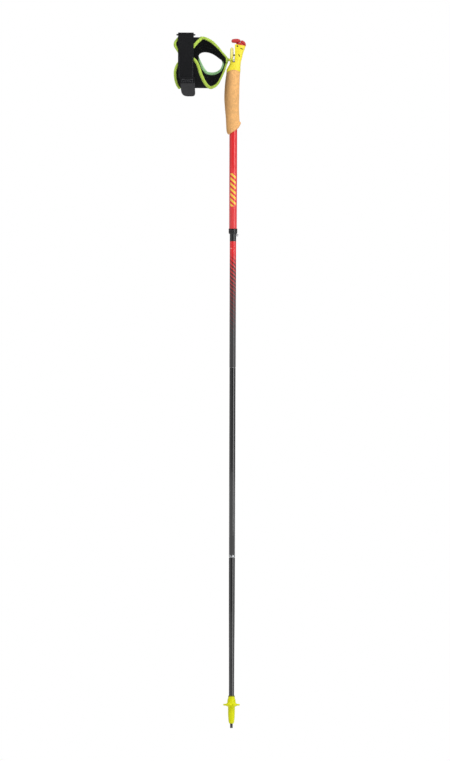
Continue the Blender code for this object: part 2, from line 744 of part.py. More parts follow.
def lever_pin():
    z = Z_HEAD + PIVOT_HEIGHT
    half = PIVOT_HALF_LENGTH
    place("lever_pin", rod_mesh((PIVOT_X, -half, z), (PIVOT_X, half, z), PIVOT_RADIUS, steps=16), STEEL)


def latch_bolt():
    """Bolt across the slot; its nose sits in the hook and the lever's arm in its notch."""
    half = LATCH_SIDE / 2
    z = Z_HEAD + LATCH_HEIGHT
    obj = place("latch_bolt", box_mesh((LATCH_TIP, -half, z - half), (LATCH_END, half, z + half)), STEEL)
    notch_half = LATCH_NOTCH_WIDTH / 2
    notch_low = (LATCH_NOTCH_X - notch_half, -half * 2, z + half - LATCH_NOTCH_DEPTH)
    combine(obj, box_mesh(notch_low, (LATCH_NOTCH_X + notch_half, half * 2, z + half * 2)))


def latch_spring():
    start, end = LATCH_END + GAP + SPRING_WIRE, LATCH_BORE_END - GAP - SPRING_WIRE
    coil = LATCH_SIDE / 2 - SPRING_WIRE
    steps = SPRING_TURNS * 10
    points = []
    for k in range(steps + 1):
        angle = 2 * math.pi * k / 10
        x = start + (end - start) * k / steps
        points.append((x, coil * math.cos(angle), Z_HEAD + LATCH_HEIGHT + coil * math.sin(angle)))
    pitch = (end - start) / SPRING_TURNS
    print(f"latch spring: least gap between turns {(pitch - 2 * SPRING_WIRE) * 1000:.2f} mm")
    place("latch_spring", tube_mesh(points, SPRING_WIRE, resolution=1), STEEL)


# Hand strap


def strap_loop():
    """Closed cord loop that clips over the hook; its front part lies in the slot."""
    side = HOOK_HALF_WIDTH + LOOP_CORD_RADIUS + GAP
    corners = [
        (X_SLOT, -side, 0.0014),
        (X_SLOT, side, 0.0014),
        (LOOP_BACK, side, 0.0036),
        (LOOP_BACK, -side, 0.0036),
    ]
    points = [(x, y, Z_LOOP) for x, y in rounded(corners, arc_steps=5)]
    place("strap_loop", tube_mesh(points, LOOP_CORD_RADIUS, cyclic=True, resolution=2), NEON_CORD)


def loop_ferrule():
    """Moulded end that joins the loop to the harness."""
    front = LOOP_BACK - LOOP_CORD_RADIUS - GAP
    back = front - FERRULE_LENGTH
    corners = [
        (front, Z_LOOP - FERRULE_HALF_HEIGHT * 0.7, 0.0008),
        (front, Z_LOOP + FERRULE_HALF_HEIGHT * 0.7, 0.0008),
        (back, Z_LOOP + FERRULE_HALF_HEIGHT, 0.0008),
        (back, Z_LOOP - FERRULE_HALF_HEIGHT, 0.0008),
    ]
    obj = place("loop_ferrule", slab_mesh(rounded(corners), FERRULE_HALF_WIDTH), NEON_PLASTIC)
    soften(obj, 0.0008)


def read_line(line, at):
    """Straight-line reading of rows that start with a rising place."""
    if at <= line[0][0]:
        return line[0][1:]
    for low, high in zip(line, line[1:]):
        if at <= high[0]:
            share = (at - low[0]) / (high[0] - low[0])
            return tuple(a + (b - a) * share for a, b in zip(low[1:], high[1:]))
    return line[-1][1:]


HARNESS_TIP = LOOP_BACK - LOOP_CORD_RADIUS - FERRULE_LENGTH - GAP - HARNESS_THICKNESS / 2

# Side view of the harness from cuff to tip: x, top edge, bottom edge, half depth
HARNESS_LINES = [
    (-0.1120, CUFF_TOP, CUFF_BOTTOM, CUFF_DEPTH),
    (-0.0560, CUFF_TOP, CUFF_BOTTOM, CUFF_DEPTH),
    (-0.0460, 0.0363, -0.0504, CUFF_DEPTH * 0.95),
    (-0.0380, 0.0316, -0.0492, CUFF_DEPTH * 0.86),
    (-0.0260, 0.0198, -0.0412, CUFF_DEPTH * 0.64),
    (-0.0190, 0.0123, -0.0282, CUFF_DEPTH * 0.43),
    (HARNESS_TIP, 0.0064, -0.0110, 0.0045),
]

# Cut edges as height and x: the cuff's open end, and the vee on the palm side
CUFF_EDGE = [
    (-0.0510, -0.1000),
    (-0.0460, -0.1030),
    (-0.0360, -0.1065),
    (-0.0215, -0.1080),
    (-0.0033, -0.1040),
    (0.0094, -0.1018),
    (0.0194, -0.1045),
    (0.0294, -0.1080),
    (0.0375, -0.1028),
    (0.0400, -0.1005),
]
VEE_EDGE = [
    (-0.0510, -0.0400),
    (-0.0480, -0.0440),
    (-0.0414, -0.0498),
    (-0.0269, -0.0571),
    (-0.0105, -0.0626),
    (-0.0006, -0.0680),
    (0.0049, -0.0753),
    (0.0130, -0.0770),
    (0.0203, -0.0735),
    (0.0312, -0.0645),
    (0.0400, -0.0570),
]
# Outline of the hole over the back of the hand: x and height
HAND_HOLE = [
    (-0.0655, 0.0086),
    (-0.0626, 0.0122),
    (-0.0554, 0.0142),
    (-0.0445, 0.0134),
    (-0.0336, 0.0088),
    (-0.0250, 0.0040),
    (-0.0215, -0.0020),
    (-0.0228, -0.0110),
    (-0.0280, -0.0200),
    (-0.0389, -0.0243),
    (-0.0489, -0.0230),
    (-0.0553, -0.0150),
    (-0.0608, -0.0020),
]


def harness_point(x, angle, side, proud=0.0):
    """A point on the harness: angle 0 is its top edge, half a turn its bottom; side is 1 or -1."""
    top, bottom, depth = read_line(HARNESS_LINES, x)
    half = (top - bottom) / 2 + proud
    z = (top + bottom) / 2 + half * math.cos(angle)
    return Vector((x, side * (depth + proud) * math.sin(angle), Z_LOOP + z))


def inside_outline(outline, x, z):
    inside = False
    for (x0, z0), (x1, z1) in zip(outline, outline[1:] + outline[:1]):
        if (z0 > z) != (z1 > z) and x < x0 + (z - z0) * (x1 - x0) / (z1 - z0):
            inside = not inside
    return inside


def reach_of(test, low=0.0, high=0.2):
    """The greatest distance for which a test of distance still holds."""
    for _ in range(40):
        middle = (low + high) / 2
        if test(middle):
            low = middle
        else:
            high = middle
    return low


def cloth_mesh(rows, closed):
    """A grid of points as cloth of the harness's thickness."""
    build = bmesh.new()
    grid = [[build.verts.new(p) for p in row] for row in rows]
    pairs = list(zip(grid, grid[1:] + (grid[:1] if closed else [])))
    for first, second in pairs:
        for k in range(len(first) - 1):
            build.faces.new((first[k], first[k + 1], second[k + 1], second[k]))
    bmesh.ops.recalc_face_normals(build, faces=build.faces)
    mesh = bpy.data.meshes.new("cloth")
    build.to_mesh(mesh)
    build.free()
    obj = bpy.data.objects.new("cloth", mesh)
    bpy.context.scene.collection.objects.link(obj)
    solidify = obj.modifiers.new("thickness", "SOLIDIFY")
    solidify.thickness = HARNESS_THICKNESS
    solidify.offset = 0.0
    return mesh_of(obj)


def hand_back_panel():
    """Panel over the back of the hand, from the cuff to the loop, with its hole."""
    middle_x, middle_angle, spread = -0.0420, 1.53, 0.045
    rays, rings = 48, 4

    def spot(ray, distance):
        x = middle_x + distance * math.cos(ray)
        return x, middle_angle - distance * math.sin(ray) / spread

    def on_panel(ray, distance):
        x, angle = spot(ray, distance)
        if not 0.0 <= angle <= math.pi or x > HARNESS_TIP:
            return False
        return x > read_line(CUFF_EDGE, harness_point(x, angle, 1).z - Z_LOOP)[0]

    def in_hole(ray, distance):
        x, angle = spot(ray, distance)
        if not 0.0 <= angle <= math.pi:
            return False
        return inside_outline(HAND_HOLE, x, harness_point(x, angle, 1).z - Z_LOOP)

    rows = []
    for k in range(rays):
        ray = 2 * math.pi * k / rays
        start = reach_of(lambda d, a=ray: in_hole(a, d))
        end = reach_of(lambda d, a=ray: on_panel(a, d))
        row = []
        for j in range(rings + 1):
            x, angle = spot(ray, start + (end - start) * j / rings)
            row.append(harness_point(x, angle, 1))
        rows.append(row)
    place("hand_back_panel", cloth_mesh(rows, True), BLACK_FABRIC)


def palm_panel():
    """Panel on the near side, between the cuff's open end and the vee."""
    rows_count, columns = 18, 5
    first = PANEL_SEAM / CUFF_DEPTH
    rows = []
    for i in range(rows_count + 1):
        angle = first + (math.pi - 2 * first) * i / rows_count
        z = harness_point(BAND_X, angle, -1).z - Z_LOOP
        start, end = read_line(CUFF_EDGE, z)[0], read_line(VEE_EDGE, z)[0]
        rows.append(
            [harness_point(start + (end - start) * j / columns, angle, -1) for j in range(columns + 1)]
        )
    place("palm_panel", cloth_mesh(rows, False), BLACK_FABRIC)


def webbing_mesh(path, thickness):
    """A strip of webbing along (depth, height) points, as wide as the band."""
    normals = []
    for i in range(len(path)):
        before, after = Vector(path[max(i - 1, 0)]), Vector(path[min(i + 1, len(path) - 1)])
        along = (after - before).normalized()
        normals.append(Vector((along.y, -along.x)))
    outer = [Vector(p) + n * thickness for p, n in zip(path, normals)]
    outline = [Vector(p) for p in path] + list(reversed(outer))
    build = bmesh.new()
    ends = []
    for x in (BAND_X - BAND_WIDTH / 2, BAND_X + BAND_WIDTH / 2):
        ends.append([build.verts.new((x, p.x, p.y)) for p in outline])
    count, half = len(outline), len(path)
    for i in range(count):
        j = (i + 1) % count
        build.faces.new((ends[0][i], ends[0][j], ends[1][j], ends[1][i]))
    for end in ends:
        for i in range(half - 1):
            build.faces.new((end[i], end[i + 1], end[count - 2 - i], end[count - 1 - i]))
    bmesh.ops.recalc_face_normals(build, faces=build.faces)
    mesh = bpy.data.meshes.new("webbing")
    build.to_mesh(mesh)
    build.free()
    return mesh


def cuff_path(start, end, side, proud, steps):
    """Points (depth, height) round the cuff under the band, between two angles in degrees."""
    path = []
    for k in range(steps + 1):
        point = harness_point(BAND_X, math.radians(start + (end - start) * k / steps), side, proud)
        path.append((point.y, point.z))
    return path


def curl(centre, radius, start, end, steps=8):
    """Points (depth, height) round a bar, between two angles in degrees from +Y."""
    path = []
    for k in range(steps + 1):
        angle = math.radians(start + (end - start) * k / steps)
        path.append((centre[0] + radius * math.cos(angle), centre[1] + radius * math.sin(angle)))
    return path


def wrist_closure():
    """Ring on top of the cuff with its keeper, the band under it, and the flap that folds over."""
    skin = HARNESS_THICKNESS / 2 + CUFF_SLACK
    under = cuff_path(42, 128, -1, skin, 14)
    place("wrist_band", webbing_mesh(under, BAND_THICKNESS), BLACK_FABRIC)
    ring_foot = Z_LOOP + CUFF_TOP + skin + RING_LIFT
    bar_z = ring_foot + RING_BAR / 2
    near_bar = (-RING_DEPTH / 2 - 0.0030, bar_z)
    far_bar = (near_bar[0] + RING_DEPTH - RING_BAR, bar_z)
    half_bar = RING_BAR / 2
    side = BAND_WIDTH / 2 + 2 * GAP
    low = (BAND_X - side - RING_BAR * 0.8, near_bar[0] - half_bar, ring_foot)
    high = (BAND_X + side + RING_BAR * 0.8, far_bar[0] + half_bar, ring_foot + RING_BAR)
    ring = place("strap_ring", box_mesh(low, high), BLACK_PLASTIC)
    soften(ring, 0.0009)
    window_low = (BAND_X - side, near_bar[0] + half_bar, ring_foot - 0.01)
    window_high = (BAND_X + side, far_bar[0] - half_bar, ring_foot + 0.01)
    combine(ring, box_mesh(window_low, window_high))
    round_bar = half_bar * math.sqrt(2) + GAP
    keeper = curl(far_bar, round_bar, 240, -20)
    keeper += cuff_path(32, 60, 1, skin, 5)
    place("ring_keeper", webbing_mesh(list(reversed(keeper)), BAND_THICKNESS), BLACK_FABRIC)
    wrist_flap(near_bar, round_bar, skin)


def wrist_flap(near_bar, round_bar, skin):
    """Outer layer of the wrist band: it hangs on the ring's near bar and ends in a pull tab."""
    proud = skin + BAND_THICKNESS + GAP
    path = curl(near_bar, round_bar, -80, 190)
    path += cuff_path(40, 90, -1, proud, 10)
    hang_y = path[-1][0]
    path += [(hang_y, Z_LOOP + FLAP_FOOT / 2), (hang_y, Z_LOOP + FLAP_FOOT)]
    place("wrist_flap", webbing_mesh(path, BAND_THICKNESS), BLACK_FABRIC)


def flap_tab():
    """Rounded pull tab that overlaps the outside of the flap's foot."""
    half = BAND_WIDTH / 2 - 0.0008
    top, foot = Z_LOOP + FLAP_FOOT + TAB_OVERLAP, Z_LOOP + TAB_FOOT
    corners = [
        (BAND_X - half + 0.0026, top, 0.001),
        (BAND_X + half + 0.0026, top, 0.001),
        (BAND_X + half + 0.0040, foot, 0.006),
        (BAND_X - half + 0.0060, foot, 0.012),
    ]
    proud = HARNESS_THICKNESS / 2 + CUFF_SLACK + 2 * BAND_THICKNESS + 2 * GAP
    outer = harness_point(BAND_X, math.radians(90), -1, proud).y
    centre = outer - TAB_THICKNESS / 2
    obj = place("flap_tab", slab_mesh(rounded(corners), TAB_THICKNESS / 2, centre), BLACK_PLASTIC)
    soften(obj, 0.0006)


def build_pole():
    carbide_tip()
    tip_holder()
    basket()
    lower_section()
    middle_section()
    sliding_section()
    lock_button()
    button_leaf()
    upper_section()
    cork_grip()
    grip_head()
    crown_pad()
    release_lever()
    lever_pin()
    latch_bolt()
    latch_spring()
    strap_loop()
    loop_ferrule()
    hand_back_panel()
    palm_panel()
    wrist_closure()
    flap_tab()


clear_scene()
PARTS = collection("folding_pole")
CUTTERS = collection("cutters")
CARBIDE = finish("carbide", (0.06, 0.06, 0.065), 0.45, 0.8)
NEON_PLASTIC = finish("neon_plastic", (0.75, 0.72, 0.03), 0.45)
CARBON = finish("carbon", (0.05, 0.05, 0.052), 0.3)
RED_PAINT = finish("red_paint", (0.72, 0.03, 0.04), 0.25)
RED_PLASTIC = finish("red_plastic", (0.55, 0.02, 0.03), 0.4)
BLACK_PLASTIC = finish("black_plastic", (0.02, 0.02, 0.022), 0.45)
ALUMINIUM = finish("aluminium", (0.75, 0.76, 0.78), 0.3, 1.0)
STEEL = finish("steel", (0.6, 0.6, 0.62), 0.3, 1.0)
CORK = finish("cork", (0.62, 0.38, 0.18), 0.85)
CORD_WHITE = finish("tension_cord", (0.8, 0.8, 0.78), 0.6)
NEON_CORD = finish("neon_cord", (0.65, 0.75, 0.05), 0.6)
BLACK_FABRIC = finish("black_fabric", (0.015, 0.015, 0.018), 0.9)
build_pole()
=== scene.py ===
"""Looks of the folding pole: materials, the half-glove strap, and a studio to see it in."""

import math

import bmesh
import bpy
from mathutils import Matrix, Vector


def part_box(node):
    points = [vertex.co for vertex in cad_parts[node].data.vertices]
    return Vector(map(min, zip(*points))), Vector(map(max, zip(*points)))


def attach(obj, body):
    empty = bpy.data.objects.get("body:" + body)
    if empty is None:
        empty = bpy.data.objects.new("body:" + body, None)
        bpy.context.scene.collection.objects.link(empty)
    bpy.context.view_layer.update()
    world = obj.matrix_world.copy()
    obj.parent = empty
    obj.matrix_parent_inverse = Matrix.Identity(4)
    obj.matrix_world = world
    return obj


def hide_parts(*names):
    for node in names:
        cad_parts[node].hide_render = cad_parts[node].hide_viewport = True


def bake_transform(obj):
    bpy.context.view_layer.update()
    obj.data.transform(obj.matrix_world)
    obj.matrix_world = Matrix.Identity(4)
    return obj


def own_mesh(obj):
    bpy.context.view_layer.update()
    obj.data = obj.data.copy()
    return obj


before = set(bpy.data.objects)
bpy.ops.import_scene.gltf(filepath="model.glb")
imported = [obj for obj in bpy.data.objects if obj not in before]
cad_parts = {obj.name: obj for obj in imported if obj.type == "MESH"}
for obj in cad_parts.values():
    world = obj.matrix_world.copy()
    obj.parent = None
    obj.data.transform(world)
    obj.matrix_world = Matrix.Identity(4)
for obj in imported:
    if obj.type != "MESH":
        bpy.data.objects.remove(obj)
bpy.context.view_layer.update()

bl_info = {
    "name": "Folding pole",
    "version": (1, 0, 0),
    "blender": (4, 5, 0),
    "location": "View3D > Sidebar > Pole",
    "description": "Dresses a folding pole with carbon, cork, moulded plastic and a hand strap",
    "category": "Object",
}

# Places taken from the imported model
LOOP_LOW, LOOP_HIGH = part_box("strap_loop")
LOOP_Z = (LOOP_LOW[2] + LOOP_HIGH[2]) / 2
HEAD_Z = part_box("cork_grip")[1][2]


def colour_property(name, words, default):
    return bpy.props.FloatVectorProperty(
        name=name, description=words, subtype="COLOR", size=3, min=0.0, max=1.0, default=default
    )


def length_property(name, words, default):
    return bpy.props.FloatProperty(
        name=name, description=words, default=default, min=0.0, unit="LENGTH", precision=4
    )


class PoleColours(bpy.types.PropertyGroup):
    lacquer: colour_property("Lacquer", "Red of the upper tubes", (0.72, 0.018, 0.022))
    carbon: colour_property(
        "Carbon", "Clear-coated laminate of the lower tubes", (0.0085, 0.0085, 0.0090)
    )
    head: colour_property("Head", "Yellow of the grip head", (0.84, 0.72, 0.030))
    tip: colour_property("Tip", "Yellow of the tip and basket", (0.73, 0.75, 0.0))
    lever: colour_property("Lever", "Red of the lever and pad", (0.50, 0.020, 0.022))
    cork: colour_property("Cork", "Main tone of the cork", (0.82, 0.44, 0.155))
    piping: colour_property("Piping", "Lime of the strap's bindings", (0.315, 0.44, 0.062))
    cloth: colour_property("Cloth", "Black of the strap", (0.0050, 0.0052, 0.0058))
    mark: colour_property("Mark", "Bars on the upper tube", (0.86, 0.55, 0.04))


class PoleSizes(bpy.types.PropertyGroup):
    panel: length_property("Panel", "Thickness of the strap's panels", 0.0016)
    binding_half_width: length_property("Binding", "Half the width of the piping", 0.0030)
    binding_half_height: length_property(
        "Binding height", "Half the thickness of the piping", 0.0026
    )
    stitch_pitch: length_property("Stitch pitch", "Distance between stitches", 0.0030)
    stitch_radius: length_property("Thread", "Radius of the sewing thread", 0.00022)
    camera_height: length_property("Camera", "Height of the camera's axis", 0.6303)
    picture_height: length_property("Picture", "Height that the camera sees", 1.3802)


def colours():
    return bpy.context.scene.pole_colours


def sizes():
    return bpy.context.scene.pole_sizes


# Shader helpers


def add(tree, kind, **inputs):
    """A shader node with inputs set by name; a socket links, any other value is set."""
    made = tree.nodes.new(kind)
    for name, value in inputs.items():
        feed(tree, made.inputs[name.replace("_", " ")], value)
    return made


def feed(tree, socket, value):
    if isinstance(value, bpy.types.NodeSocket):
        tree.links.new(value, socket)
    else:
        socket.default_value = value


def maths(tree, operation, a, b=0.0):
    made = tree.nodes.new("ShaderNodeMath")
    made.operation = operation
    feed(tree, made.inputs[0], a)
    feed(tree, made.inputs[1], b)
    return made.outputs[0]


def near(tree, value, place, reach):
    """1 within a reach of a place, and 0 beyond it."""
    found = maths(tree, "COMPARE", value, place)
    found.node.inputs[2].default_value = reach
    return found


def remap(tree, value, low, high, to_low=0.0, to_high=1.0):
    made = tree.nodes.new("ShaderNodeMapRange")
    sockets = ("Value", "From Min", "From Max", "To Min", "To Max")
    for socket, given in zip(sockets, (value, low, high, to_low, to_high)):
        feed(tree, made.inputs[socket], given)
    return made.outputs["Result"]


def mixed(tree, share, first, second):
    made = tree.nodes.new("ShaderNodeMix")
    made.data_type = "RGBA"
    feed(tree, made.inputs[0], share)
    for socket, value in ((made.inputs[6], first), (made.inputs[7], second)):
        no_alpha = isinstance(value, (tuple, list)) and len(value) == 3
        feed(tree, socket, (*value, 1.0) if no_alpha else value)
    return made.outputs[2]


def tone(colour, factor):
    return tuple(min(1.0, channel * factor) for channel in colour)


def group(name, inputs, outputs):
    """An empty shader group with named value or vector sockets; returns it with its two ends."""
    tree = bpy.data.node_groups.new(name, "ShaderNodeTree")
    for socket, kind, default in inputs:
        made = tree.interface.new_socket(socket, in_out="INPUT", socket_type=kind)
        if kind == "NodeSocketFloat":
            made.default_value = default
    for socket in outputs:
        tree.interface.new_socket(socket, in_out="OUTPUT", socket_type="NodeSocketFloat")
    start, end = tree.nodes.new("NodeGroupInput"), tree.nodes.new("NodeGroupOutput")
    return tree, start, end


def use(tree, name, **inputs):
    made = tree.nodes.new("ShaderNodeGroup")
    made.node_tree = bpy.data.node_groups[name]
    for socket, value in inputs.items():
        feed(tree, made.inputs[socket.replace("_", " ")], value)
    return made


def make_groups():
    """The effects that several finishes share."""
    tree, start, end = group(
        "moulded grain",
        [("Vector", "NodeSocketVector", 0), ("Scale", "NodeSocketFloat", 900.0)],
        ["Fine", "Cloud"],
    )
    vector, scale = start.outputs[0], start.outputs[1]
    fine = add(tree, "ShaderNodeTexNoise", Vector=vector, Scale=scale, Detail=3.0)
    wide = maths(tree, "MULTIPLY", scale, 0.06)
    cloud = add(tree, "ShaderNodeTexNoise", Vector=vector, Scale=wide, Detail=4.0)
    tree.links.new(fine.outputs["Fac"], end.inputs["Fine"])
    tree.links.new(cloud.outputs["Fac"], end.inputs["Cloud"])

    tree, start, end = group(
        "weave",
        [("Vector", "NodeSocketVector", 0), ("Pitch", "NodeSocketFloat", 0.001)],
        ["Height", "Holes"],
    )
    parts = add(tree, "ShaderNodeSeparateXYZ", Vector=start.outputs[0])
    across = maths(tree, "DIVIDE", parts.outputs[0], start.outputs[1])
    along = maths(tree, "DIVIDE", parts.outputs[1], start.outputs[1])
    ridge_a = maths(tree, "ABSOLUTE", maths(tree, "SINE", maths(tree, "MULTIPLY", across, math.pi)))
    ridge_b = maths(tree, "ABSOLUTE", maths(tree, "SINE", maths(tree, "MULTIPLY", along, math.pi)))
    cells = maths(tree, "ADD", maths(tree, "FLOOR", across), maths(tree, "FLOOR", along))
    over = maths(tree, "FLOORED_MODULO", cells, 2.0)
    first = maths(tree, "MULTIPLY", ridge_a, over)
    second = maths(tree, "MULTIPLY", ridge_b, maths(tree, "SUBTRACT", 1.0, over))
    tree.links.new(maths(tree, "ADD", first, second), end.inputs["Height"])
    corner = maths(tree, "MAXIMUM", ridge_a, ridge_b)
    tree.links.new(remap(tree, corner, 0.25, 0.6, 1.0, 0.0), end.inputs["Holes"])


class Finish:
    """A Principled material under construction."""

    def __init__(self, name, roughness, metallic=0.0, **sockets):
        self.material = bpy.data.materials.new(name)
        self.material.use_nodes = True
        self.tree = self.material.node_tree
        self.shader = self.tree.nodes["Principled BSDF"]
        self.shader.inputs["Roughness"].default_value = roughness
        self.shader.inputs["Metallic"].default_value = metallic
        for socket, value in sockets.items():
            self.shader.inputs[socket.replace("_", " ")].default_value = value
        coordinates = self.tree.nodes.new("ShaderNodeTexCoord")
        self.place, self.uv = coordinates.outputs["Object"], coordinates.outputs["UV"]

    def set(self, socket, value):
        feed(self.tree, self.shader.inputs[socket], value)
        return self

    def bump(self, height, distance, strength=1.0):
        made = add(
            self.tree, "ShaderNodeBump", Height=height, Distance=distance, Strength=strength
        )
        self.set("Normal", made.outputs[0])
        return self

    def axes(self):
        """Sockets with the place along X, Y and Z, in metres."""
        return tuple(add(self.tree, "ShaderNodeSeparateXYZ", Vector=self.place).outputs)

    def grain(self, scale):
        """Sockets of the fine and the cloudy part of a moulded surface."""
        made = use(self.tree, "moulded grain", Vector=self.place, Scale=scale)
        return made.outputs["Fine"], made.outputs["Cloud"]


MOULD_GRAIN, MOULD_DEPTH, MOULD_BUMP = 1400.0, 0.00004, 0.6
PEEL_GRAIN, PEEL_DEPTH, PEEL_BUMP = 260.0, 0.00003, 0.25


def plastic(name, colour, roughness, grain=MOULD_GRAIN, depth=MOULD_DEPTH, **sockets):
    """Moulded plastic: clouds in its tone and gloss over a fine grain."""
    finish = Finish(name, roughness, **sockets)
    tree = finish.tree
    fine, cloud = finish.grain(grain)
    finish.set("Base Color", mixed(tree, cloud, tone(colour, 0.88), tone(colour, 1.08)))
    finish.set("Roughness", remap(tree, cloud, 0.3, 0.7, roughness - 0.06, roughness + 0.08))
    return finish.bump(fine, depth, MOULD_BUMP).material


def metal(name, colour, roughness, turned_along=2):
    """Turned metal: fine rings round its axis."""
    finish = Finish(name, roughness, 1.0)
    tree = finish.tree
    stretch = [40.0, 40.0, 40.0]
    stretch[turned_along] = 9000.0
    mapping = add(tree, "ShaderNodeMapping", Vector=finish.place, Scale=stretch)
    noise = add(tree, "ShaderNodeTexNoise", Vector=mapping.outputs[0], Scale=1.0, Detail=2.0)
    rings = noise.outputs["Fac"]
    finish.set("Base Color", mixed(tree, rings, tone(colour, 0.82), tone(colour, 1.08)))
    finish.set("Roughness", remap(tree, rings, 0.3, 0.7, roughness - 0.08, roughness + 0.12))
    return finish.bump(rings, 0.00003, 0.4).material


def carbon_tone(finish, colour):
    """Streaked laminate: fibres run along the tube."""
    tree = finish.tree
    mapping = add(tree, "ShaderNodeMapping", Vector=finish.place, Scale=(2600.0, 2600.0, 36.0))
    fibre = add(tree, "ShaderNodeTexNoise", Vector=mapping.outputs[0], Scale=1.0, Detail=3.0)
    share = remap(tree, fibre.outputs["Fac"], 0.3, 0.75)
    return mixed(tree, share, tone(colour, 0.55), tone(colour, 2.4)), fibre.outputs["Fac"]


def carbon_finish():
    coat = {"Coat_Weight": 1.0, "Coat_Roughness": 0.07, "Coat_IOR": 1.6}
    finish = Finish("carbon laminate", 0.38, Specular_IOR_Level=0.25, **coat)
    base, fibre = carbon_tone(finish, colours().carbon)
    finish.set("Base Color", base)
    finish.set("Roughness", remap(finish.tree, fibre, 0.3, 0.7, 0.30, 0.46))
    return finish.bump(fibre, 0.00002, 0.3).material


def lacquer_base(finish):
    """Red with faint orange-peel clouds, and the height that goes with it."""
    fine, cloud = finish.grain(PEEL_GRAIN)
    red = colours().lacquer
    return mixed(finish.tree, cloud, tone(red, 0.9), tone(red, 1.06)), fine


def slide_tube_finish():
    """Red that breaks into slanted stripes and gives way to bare laminate, under a black top."""
    coat = {"Coat_Weight": 0.9, "Coat_Roughness": 0.07}
    finish = Finish("red to carbon", 0.34, Specular_IOR_Level=0.3, **coat)
    tree = finish.tree
    red, peel = lacquer_base(finish)
    bare = carbon_tone(finish, colours().carbon)[0]
    x, y, z = finish.axes()

    # Stripes that climb round the tube, and how much of each is red at a height
    stripe_rise, stripe_starts, stripe_edge = 0.0071, 4.0, 0.03
    fade_foot, fade_top, closing, closed = 0.707, 0.846, 0.838, 0.861
    turns = maths(tree, "DIVIDE", maths(tree, "ARCTAN2", y, x), 2 * math.pi)
    rise = maths(tree, "DIVIDE", z, stripe_rise)
    climb = maths(tree, "ADD", rise, maths(tree, "MULTIPLY", turns, stripe_starts))
    ladder = maths(tree, "FRACT", climb)
    low_cover = maths(tree, "POWER", remap(tree, z, fade_foot, fade_top), 1.3)
    top_cover = remap(tree, z, closing, closed, 0.0, 0.42)
    cover = maths(tree, "ADD", maths(tree, "MULTIPLY", low_cover, 0.58), top_cover)
    lead = maths(tree, "SUBTRACT", cover, ladder)
    stripes = remap(tree, lead, -stripe_edge, stripe_edge)

    # Both colours grow darker on the way down
    lacquer = colours().lacquer
    thin = mixed(tree, remap(tree, z, 0.775, closed), tone(lacquer, 0.26), red)
    deep = mixed(tree, remap(tree, z, 0.720, 0.800), bare, tone(lacquer, 0.075))
    body = mixed(tree, stripes, deep, thin)

    tick_height, tick_half, tick_middle, tick_reach = 0.8699, 0.0007, -0.0034, 0.0017
    level = near(tree, z, tick_height, tick_half)
    across = near(tree, x, tick_middle, tick_reach)
    front = maths(tree, "LESS_THAN", y, 0.0)
    tick = maths(tree, "MULTIPLY", level, maths(tree, "MULTIPLY", across, front))
    body = mixed(tree, tick, body, (0.88, 0.30, 0.26))

    bare_above = 0.8828
    finish.set("Base Color", mixed(tree, maths(tree, "GREATER_THAN", z, bare_above), body, bare))
    return finish.bump(peel, PEEL_DEPTH, PEEL_BUMP).material


def upper_tube_finish():
    """Red lacquer with a row of slanted bars on the side that faces the camera."""
    coat = {"Coat_Weight": 0.9, "Coat_Roughness": 0.06}
    finish = Finish("red lacquer", 0.34, Specular_IOR_Level=0.3, **coat)
    tree = finish.tree
    red, peel = lacquer_base(finish)
    x, y, z = finish.axes()
    bar_slant, bars_per_metre = 0.9, 105.0
    row_middle, row_half, bars_from = 0.976, 0.030, -0.0050
    slant = maths(tree, "ADD", z, maths(tree, "MULTIPLY", x, bar_slant))
    bars = maths(tree, "FRACT", maths(tree, "MULTIPLY", slant, bars_per_metre))
    bars = maths(tree, "LESS_THAN", bars, 0.5)
    row = near(tree, z, row_middle, row_half)
    side = maths(tree, "LESS_THAN", y, bars_from)
    mark = maths(tree, "MULTIPLY", maths(tree, "MULTIPLY", bars, row), side)
    finish.set("Base Color", mixed(tree, mark, red, tuple(colours().mark)))
    return finish.bump(peel, PEEL_DEPTH, PEEL_BUMP).material


def tip_finish():
    """Bright yellow plastic, darkening to olive at its top lip."""
    finish = Finish("tip yellow", 0.45, Specular_IOR_Level=0.25)
    tree = finish.tree
    fine, cloud = finish.grain(MOULD_GRAIN)
    yellow = tuple(colours().tip)
    base = mixed(tree, cloud, tone(yellow, 0.92), tone(yellow, 1.06))
    lip_from, lip_to = 0.0555, 0.0585
    lip = remap(tree, finish.axes()[2], lip_from, lip_to)
    finish.set("Base Color", mixed(tree, lip, base, (0.07, 0.07, 0.002)))
    finish.set("Roughness", remap(tree, cloud, 0.3, 0.7, 0.38, 0.54))
    return finish.bump(fine, MOULD_DEPTH, MOULD_BUMP).material


def two_shot_finish():
    """Head moulding: yellow, paler up the hook, with the red of the lever run over its top."""
    finish = Finish("two-shot head", 0.42)
    tree = finish.tree
    fine, cloud = finish.grain(MOULD_GRAIN)
    yellow, red = tuple(colours().head), tuple(colours().lever)
    base = mixed(tree, cloud, tone(yellow, 0.88), tone(yellow, 1.08))
    crown = mixed(tree, cloud, tone(red, 0.88), tone(red, 1.08))
    x, _, z = finish.axes()
    crown_slope, crown_line, crown_edge = 0.16, HEAD_Z + 0.0464, 0.0004
    line = maths(tree, "ADD", z, maths(tree, "MULTIPLY", x, crown_slope))
    top = remap(tree, line, crown_line, crown_line + crown_edge)
    pale_from, pale_to = HEAD_Z + 0.016, HEAD_Z + 0.030
    hook_front, head_wall = 0.0004, 0.0010
    raised = remap(tree, z, pale_from, pale_to, 0.0, 0.75)
    hook = maths(tree, "MULTIPLY", raised, remap(tree, x, hook_front, head_wall, 1.0, 0.0))
    base = mixed(tree, hook, base, (0.88, 0.84, 0.36))
    finish.set("Base Color", mixed(tree, top, base, crown))
    finish.set("Roughness", remap(tree, cloud, 0.3, 0.7, 0.36, 0.5))
    return finish.bump(fine, MOULD_DEPTH, MOULD_BUMP).material


